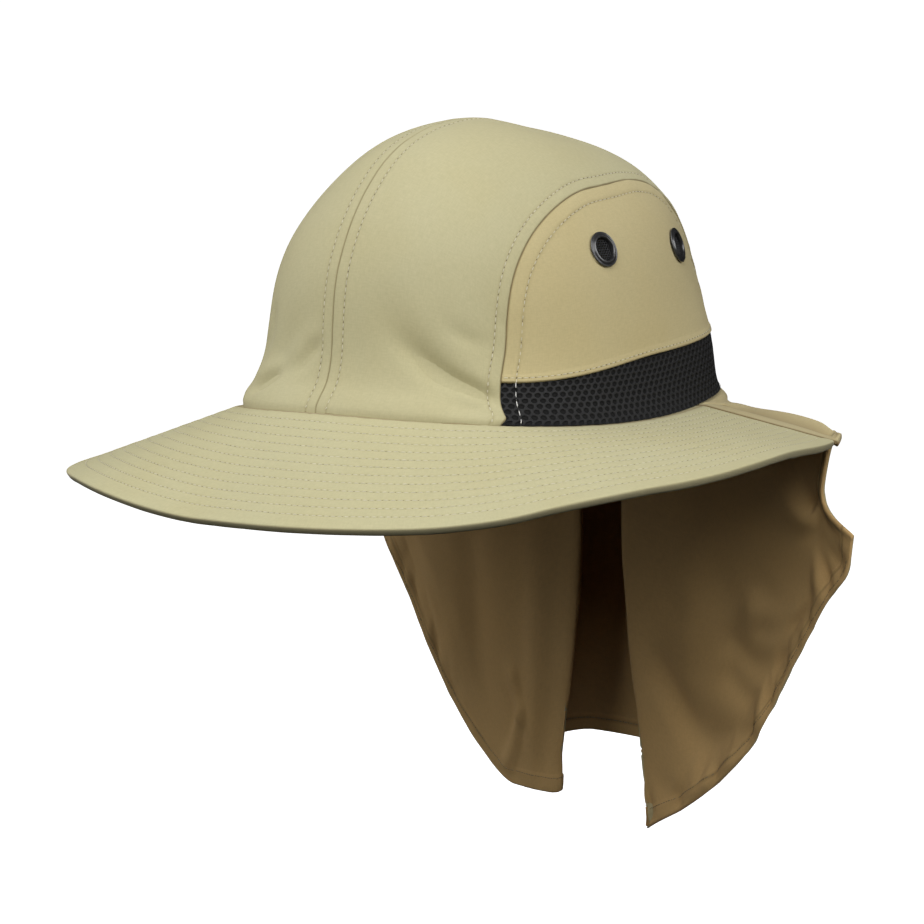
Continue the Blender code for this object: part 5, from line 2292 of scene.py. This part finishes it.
    def seam(self, share: float, side: int) -> tuple[Array, Array]:
        """Point of the sewn edge and the way the cloth leaves it.

        Args:
            share: Share of the sewn edge, from the brim's outer corner.
            side: 1 on the left, -1 on the right.

        Returns:
            The point and the direction.
        """
        brim, crown = self.brim, self.brim.crown
        azimuth = np.array(side * brim.rear_azimuth)
        start = np.radians(brim.rear_azimuth)
        inner_share = -float(brim.set_in(np.array(side * start))) / brim.width
        corner, inner = (brim.point(azimuth, np.array(place)) for place in (1.0, inner_share))
        arc = lengths_along(crown.base_point(side * np.linspace(start, np.pi, 30)))[-1]
        edge_length = np.linalg.norm(corner - inner)
        turn = edge_length / (edge_length + arc)
        sink = np.array([0.0, 0.0, self.cloth / 2])
        across = unit(np.cross(corner - inner, np.array([0.0, 0.0, -side])))
        if share < turn:
            out = 1.0 + (inner_share - 1.0) * share / turn
            return brim.point(azimuth, np.array(out)) + across * crown.gap * 1.2 - sink, across
        travel = (share - turn) / (1 - turn)
        clear = 3 * crown.gap / crown.half_width
        azimuth = np.array(side * (start + clear + (np.pi - start - clear) * travel))
        away = crown.base_normal(azimuth)
        spot = crown.base_point(azimuth) - np.array([0.0, 0.0, crown.gap]) - away * brim.set_in(azimuth)
        return spot - sink, unit(away + across * np.clip(1 - travel / 0.12, 0, 1))

    def strands(self, places: Array) -> Array:
        """The stations of each column: sewn edge, ledge, ridge, neck and hem.

        Args:
            places: Place of each column, 0 to 2.

        Returns:
            The points, by column and station.
        """
        hanging = []
        for side in (1, -1):
            scale = np.array([side * self.half_width, self.depth, -self.drop])
            hems = [(*rib.hem[:2], rib.hem_right if side < 0 else rib.hem[2]) for rib in self.ribs]
            rows = [np.array([rib.ridge, rib.neck, hem]) * scale for rib, hem in zip(self.ribs, hems)]
            hanging.append(np.array(rows).reshape(-1, 9))
        half = [rib.column for rib in self.ribs]
        columns = half + [2.0 - place for place in half[-2::-1]]
        lower = smooth_rows(columns, np.concatenate([hanging[0], hanging[1][-2::-1]]), places)
        seams = smooth_rows(half, [rib.seam for rib in self.ribs], 1 - np.abs(1 - places))
        found = []
        for place, share, low in zip(places, seams, lower.reshape(-1, 3, 3)):
            edge, away = self.seam(share, 1 if place <= 1.0 else -1)
            behind = float(ease((share - 0.38) / 0.06))
            ledge = self.seam_ledge + behind * (self.brim.allowance + self.rear_ledge - self.seam_ledge)
            found.append([edge, edge + away * ledge - np.array([0.0, 0.0, self.rear_drop * behind]), *low])
        return np.array(found)

    def sheet_grid(self, places: Array, down: Array) -> Array:
        """Middle of the cloth as a grid: rows down, columns across."""
        grid = np.array([smooth_rows(self.stations, strand, down) for strand in self.strands(places)])
        return grid.transpose(1, 0, 2)

    def even_places(self) -> Array:
        """Columns an even length apart.

        Returns:
            The place of each column.
        """
        coarse = np.linspace(0, 2, 700)
        grid = self.sheet_grid(coarse, np.linspace(0.1, 1, 8))
        along = lengths_along(grid.transpose(1, 0, 2)).mean(axis=1)
        edge = np.array([0, 0.4, 0.9, 1.5, 2.2, 3.0, 4.0, 5.2]) * MM
        count = self.columns - 2 * len(edge)
        step = (along[-1] - 2 * edge[-1]) / count
        return np.interp(fine_ends(along[-1], edge, step), along, coarse)

    def even_rows(self) -> Array:
        """Rows down the cloth, close together at the seam and at the hem.

        Returns:
            The share of the drop at each row.
        """
        top = np.linspace(0, 0.34, 46)
        edge = np.array([7.6, 7.0, 6.5, 6.0, 5.0, 3.8, 2.6, 1.6, 0.9, 0.4, 0.0]) / 150
        body = np.linspace(0.34, 1 - edge[0], self.rows - 46 - len(edge))
        return np.concatenate([top[:-1], body[:-1], 1 - edge])

    def fold_height(self, cloth: ClothMap) -> Array:
        """Sum of the folds over the cloth.

        Args:
            cloth: The lengths of the cloth.

        Returns:
            Height of every grid point, in metres.
        """
        s_axis, t_axis = cloth.across[len(cloth.down) // 2], cloth.length.mean(axis=1)
        s, t = s_axis[None, :] + 0 * cloth.across, t_axis[:, None] + 0 * cloth.length
        total = np.zeros_like(s)
        for fold in self.folds:
            start, end = (
                np.array([np.interp(place, cloth.places, s_axis), np.interp(share, cloth.down, t_axis)])
                for place, share in (fold.start, fold.end)
            )
            run = end - start
            length = np.linalg.norm(run)
            along = ((s - start[0]) * run[0] + (t - start[1]) * run[1]) / length
            aside = ((t - start[1]) * run[0] - (s - start[0]) * run[1]) / length
            beyond = np.maximum(-along, along - length).clip(0, None)
            fade = (aside / fold.reach) ** 2 + (beyond / (1.3 * fold.reach)) ** 2
            total += self.fold_strength * fold.height * np.exp(-fade)
        return total

    def relief(self, cloth: ClothMap) -> Array:
        """Height of the swellings, puckers and folds.

        Args:
            cloth: The lengths of the cloth.

        Returns:
            Height of every grid point over the smooth cloth, in metres.
        """
        left, from_hem, from_side = cloth.places < 1, cloth.from_hem, cloth.from_side
        pucker = sum(wave.at(cloth.run, from_hem) for wave in self.pucker_waves)
        pucker = pucker * bell(from_hem - self.pucker_at, self.pucker_reach) * np.where(left, *self.puckers)
        pucker = pucker * (1 - 0.8 * bell(from_hem, 2.5 * MM))
        side_wave = self.side_waves.at(cloth.length, from_side) * bell(from_side, 8 * MM)
        side_wave = side_wave * np.where(left, *self.side_wave_shares)
        side_wave = side_wave * (1 - 0.8 * ease((cloth.length - 50 * MM) / (20 * MM)))
        swell = sum(wave.at(cloth.across, cloth.length) for wave in self.swells)
        hanging = ease((cloth.down - 0.16) / 0.25)[:, None]
        height = (swell + pucker) * hanging + side_wave * ease((cloth.down - 0.1) / 0.1)[:, None]
        return height + self.fold_height(cloth) * hanging

    def half_thickness(self, cloth: ClothMap) -> tuple[Array, Array]:
        """Half the thickness of the cloth with its padded hems.

        Args:
            cloth: The lengths of the cloth.

        Returns:
            Half thickness in metres, and the painted shade of the stitch rows from 0 to 1.
        """
        hem, side = self.hem, self.side_hem
        from_hem, from_side = cloth.from_hem, cloth.from_side
        lump = 1 + 2.0 * bell(cloth.length - 9 * MM, 5 * MM) * (cloth.places < 1)
        padding = np.maximum(hem.pad(from_hem), side.pad(from_side) * lump)
        row, side_row = hem.row(from_hem), side.row(from_side)
        rounding = np.minimum(hem.rounding(from_hem), side.rounding(from_side))
        half = (self.cloth / 2 + padding - np.maximum(row, side_row)) * rounding
        near_seam = ease((cloth.down - 0.01) / 0.06)[:, None]
        shade = np.maximum(hem.shade * row, side.shade * side_row) / hem.groove * near_seam
        return self.cloth / 2 + (half - self.cloth / 2) * near_seam, shade

    def build(self, finish: Material) -> tuple[Piece, list[Row]]:
        """Make the cape.

        Args:
            finish: Finish of the cloth.

        Returns:
            The piece, and its stitch rows on both faces of the hem.
        """
        places, down = self.even_places(), self.even_rows()
        grid = self.sheet_grid(places, down)
        cloth = ClothMap(places, down, lengths_along(grid), lengths_along(grid.transpose(1, 0, 2)).T)
        normals = grid_normals(grid)
        if normals[-1, len(places) // 2, 1] < 0:
            normals = -normals
        valley = bell(down[:, None] - self.trough_at, self.trough_width) * self.ledge_window(places)
        middle = grid + normals * (self.relief(cloth) - self.trough * valley)[..., None]
        turned = grid_normals(middle)
        normals = turned * np.sign(np.sum(turned * normals, axis=-1, keepdims=True))
        half, crease = self.half_thickness(cloth)
        outer, inner = middle + normals * half[..., None], middle - normals * half[..., None]
        # Painted shade in the trough behind the brim and along the sewn top edge.
        crease = np.maximum(crease, 0.50 * valley)
        crease = np.maximum(crease, 0.85 * bell(cloth.length, 1.0 * MM))
        uv = np.stack([cloth.run, cloth.length], -1)
        piece = cloth_wall("neck_cape_cloth", outer, inner, uv, crease, finish)
        cells = np.cross(np.diff(middle, axis=0)[:, :-1], np.diff(middle, axis=1)[:-1])
        measured = np.sum(np.linalg.norm(cells, axis=-1)), cloth.across[-1, -1], cloth.length[-1].max()
        LOG.info("neck cape: middle %.4f m2, %.3f m across the hem, %.3f m long", *measured)
        from_row = cloth.from_hem[:, len(places) // 4] - self.hem.width + self.hem.row_in
        row = int(np.argmin(np.abs(from_row)))
        paths = [(face[row, 8:-8], way[row, 8:-8]) for face, way in ((outer, normals), (inner, -normals))]
        return piece, paths


@dataclass(frozen=True)
class SoftBox:
    """A large soft light: where it stands, how big and how strong it is."""

    name: str
    azimuth: float
    elevation: float
    distance: float
    size: float
    power: float
    colour: Colour = (1.0, 1.0, 1.0)


@dataclass
class Studio:
    """Pale floor and sweep, soft lights and the camera."""

    floor: float = -0.26
    floor_rings: tuple[float, ...] = (0.8, 1.6, 2.4)
    curve: float = 1.6
    ceiling_ring: float = 1.2
    sides: int = 48
    ambient: float = 0.012
    azimuth: float = 41.11
    elevation: float = 6.0
    distance: float = 1.2545
    lens: float = 123.17
    slide: tuple[float, float] = (-0.00626, -0.02525)
    lights: tuple[SoftBox, ...] = (
        SoftBox("front_high", 5, 52, 2.0, 1.2, 12.3),
        SoftBox("front", 20, 35, 2.0, 1.2, 10.3),
        SoftBox("camera_side", 41, 30, 2.0, 1.2, 7.3),
        SoftBox("left_side", 75, 38, 2.0, 1.2, 8.0),
        SoftBox("left_rear", 110, 25, 2.0, 1.2, 15.6),
        SoftBox("right_side", -60, 35, 2.0, 1.2, 7.0),
        SoftBox("right_high", -50, 60, 2.0, 1.2, 8.0),
        SoftBox("front_low", -20, 5, 2.0, 1.2, 5.2),
    )

    def way(self, azimuth: float, elevation: float) -> Vector:
        """Direction from the hat toward a light or the camera."""
        a, e = math.radians(azimuth), math.radians(elevation)
        return Vector((math.sin(a) * math.cos(e), -math.cos(a) * math.cos(e), math.sin(e)))

    def sweep(self) -> None:
        """Make the floor that curves up into a closed pale room."""
        profile = [(radius, self.floor) for radius in self.floor_rings]
        for degrees in range(-75, 105, 15):
            out, up = math.cos(math.radians(degrees)), math.sin(math.radians(degrees))
            height = self.floor + self.curve + self.curve * up
            profile.append((self.floor_rings[-1] + self.curve * out, height))
        profile.append((self.ceiling_ring, self.floor + 2 * self.curve))
        turns = 2 * np.pi * np.arange(self.sides) / self.sides
        points = [
            (radius * math.cos(turn), radius * math.sin(turn), height)
            for radius, height in profile
            for turn in turns
        ]
        index = np.arange(len(points)).reshape(-1, self.sides)
        faces = grid_quads(np.hstack([index, index[:, :1]]))[:, ::-1].tolist()
        faces += [index[0].tolist(), index[-1, ::-1].tolist()]
        piece = add_piece("studio_floor", np.array(points), faces, StudioFinish("pale_studio").material())
        for ray in ("diffuse", "shadow", "transmission", "glossy"):
            setattr(piece, "visible_" + ray, False)

    def light(self) -> None:
        """Add the soft lights and the room's even light."""
        for box in self.lights:
            data = bpy.data.lights.new(box.name, "AREA")
            data.shape, data.size, data.energy, data.color = "DISK", box.size, box.power, box.colour
            lamp = bpy.data.objects.new(box.name, data)
            way = self.way(box.azimuth, box.elevation)
            lamp.location = way * box.distance
            lamp.rotation_euler = way.to_track_quat("Z", "Y").to_euler()
            bpy.context.scene.collection.objects.link(lamp)
        world = bpy.data.worlds.new("even_light")
        world.use_nodes = True
        ground = world.node_tree.nodes["Background"]
        ground.inputs["Color"].default_value = (1.0, 0.985, 0.96, 1.0)
        ground.inputs["Strength"].default_value = self.ambient
        bpy.context.scene.world = world

    def camera(self) -> None:
        """Set the camera at the photograph's angle."""
        back = self.way(self.azimuth, self.elevation)
        a = math.radians(self.azimuth)
        right = Vector((math.cos(a), math.sin(a), 0.0))
        up = back.cross(right)
        data = bpy.data.cameras.new("view")
        data.lens, data.sensor_width = self.lens, 36.0
        data.clip_start, data.clip_end = 0.05, 30.0
        camera = bpy.data.objects.new("view", data)
        spot = back * self.distance + right * self.slide[0] + up * self.slide[1]
        turn = Matrix((right, up, back)).transposed().to_4x4()
        camera.matrix_world = Matrix.Translation(spot) @ turn
        bpy.context.scene.collection.objects.link(camera)
        bpy.context.scene.camera = camera

    def build(self) -> None:
        """Set up the whole studio."""
        self.sweep()
        self.light()
        self.camera()
        settings = bpy.context.scene.view_settings
        settings.view_transform, settings.look = "Standard", "None"
        settings.exposure, settings.gamma = 0.0, 1.0


def main() -> None:
    """Build the hat in the order in which it is sewn."""
    logging.basicConfig(level=logging.INFO, format="%(name)s: %(message)s")
    wardrobe = Wardrobe()
    studio = Studio()
    studio.build()
    crown, seams = CrownForm(), CrownSeams()
    stitches = StitchRule()
    crown_rows: list[Row] = []
    mesh_rows: list[Row] = []
    for side in Side:
        piece, paths = StripPanel(crown, seams, side).build(wardrobe.crown)
        fix_to_hat(piece, Slot.TAN, "crown_panel_" + side.word)
        work = SideWork(crown, seams, side)
        fix_to_hat(work.panel(wardrobe.side), Slot.TAN, "side_panel_" + side.word)
        fix_to_hat(work.backing(wardrobe.backing), Slot.MESH, "mesh_band_" + side.word)
        band = work.net_base()
        net = face_outward(NetRule(length=work.band_length()).lay(band, wardrobe.net))
        fix_to_hat(net, Slot.MESH, "mesh_band_" + side.word)
        for place, step in (("front", -1), ("rear", 1)):
            Eyelet(f"eyelet_{side.word}_{place}", *work.eyelet_place(step)).build(wardrobe)
        rows = work.stitch_paths()
        crown_rows += paths + rows["tan"]
        mesh_rows += rows["mesh"]
    sewn = stitches.sew("crown_stitching", crown_rows, wardrobe.tan_thread, wardrobe.needle_hole)
    fix_to_hat(sewn, Slot.TAN)
    white = StitchRule(pitch=3.4 * MM, length=2.7 * MM, hole=0.1 * MM)
    fix_to_hat(white.sew("mesh_stitching", mesh_rows, wardrobe.white_thread, wardrobe.white_thread), Slot.TAN)
    brim = Brim(crown.plain(), crown)
    piece, paths = brim.build(wardrobe.brim)
    fix_to_hat(piece, Slot.TAN, "brim")
    brim_rule = StitchRule(pitch=2.6 * MM, length=1.9 * MM, width=0.42 * MM, hole=0.36 * MM, seed=9)
    fix_to_hat(brim_rule.sew("brim_stitching", paths, wardrobe.tan_thread, wardrobe.needle_hole), Slot.TAN)
    cape = NeckCape(brim)
    piece, paths = cape.build(wardrobe.cape)
    fix_to_hat(piece, Slot.CAPE, "neck_cape")
    hem_rule = StitchRule(pitch=2.8 * MM, seed=13)
    hem = hem_rule.sew("cape_stitching", paths, wardrobe.cape_thread, wardrobe.needle_hole)
    fix_to_hat(hem, Slot.CAPE)


if __name__ == "__main__":
    main()
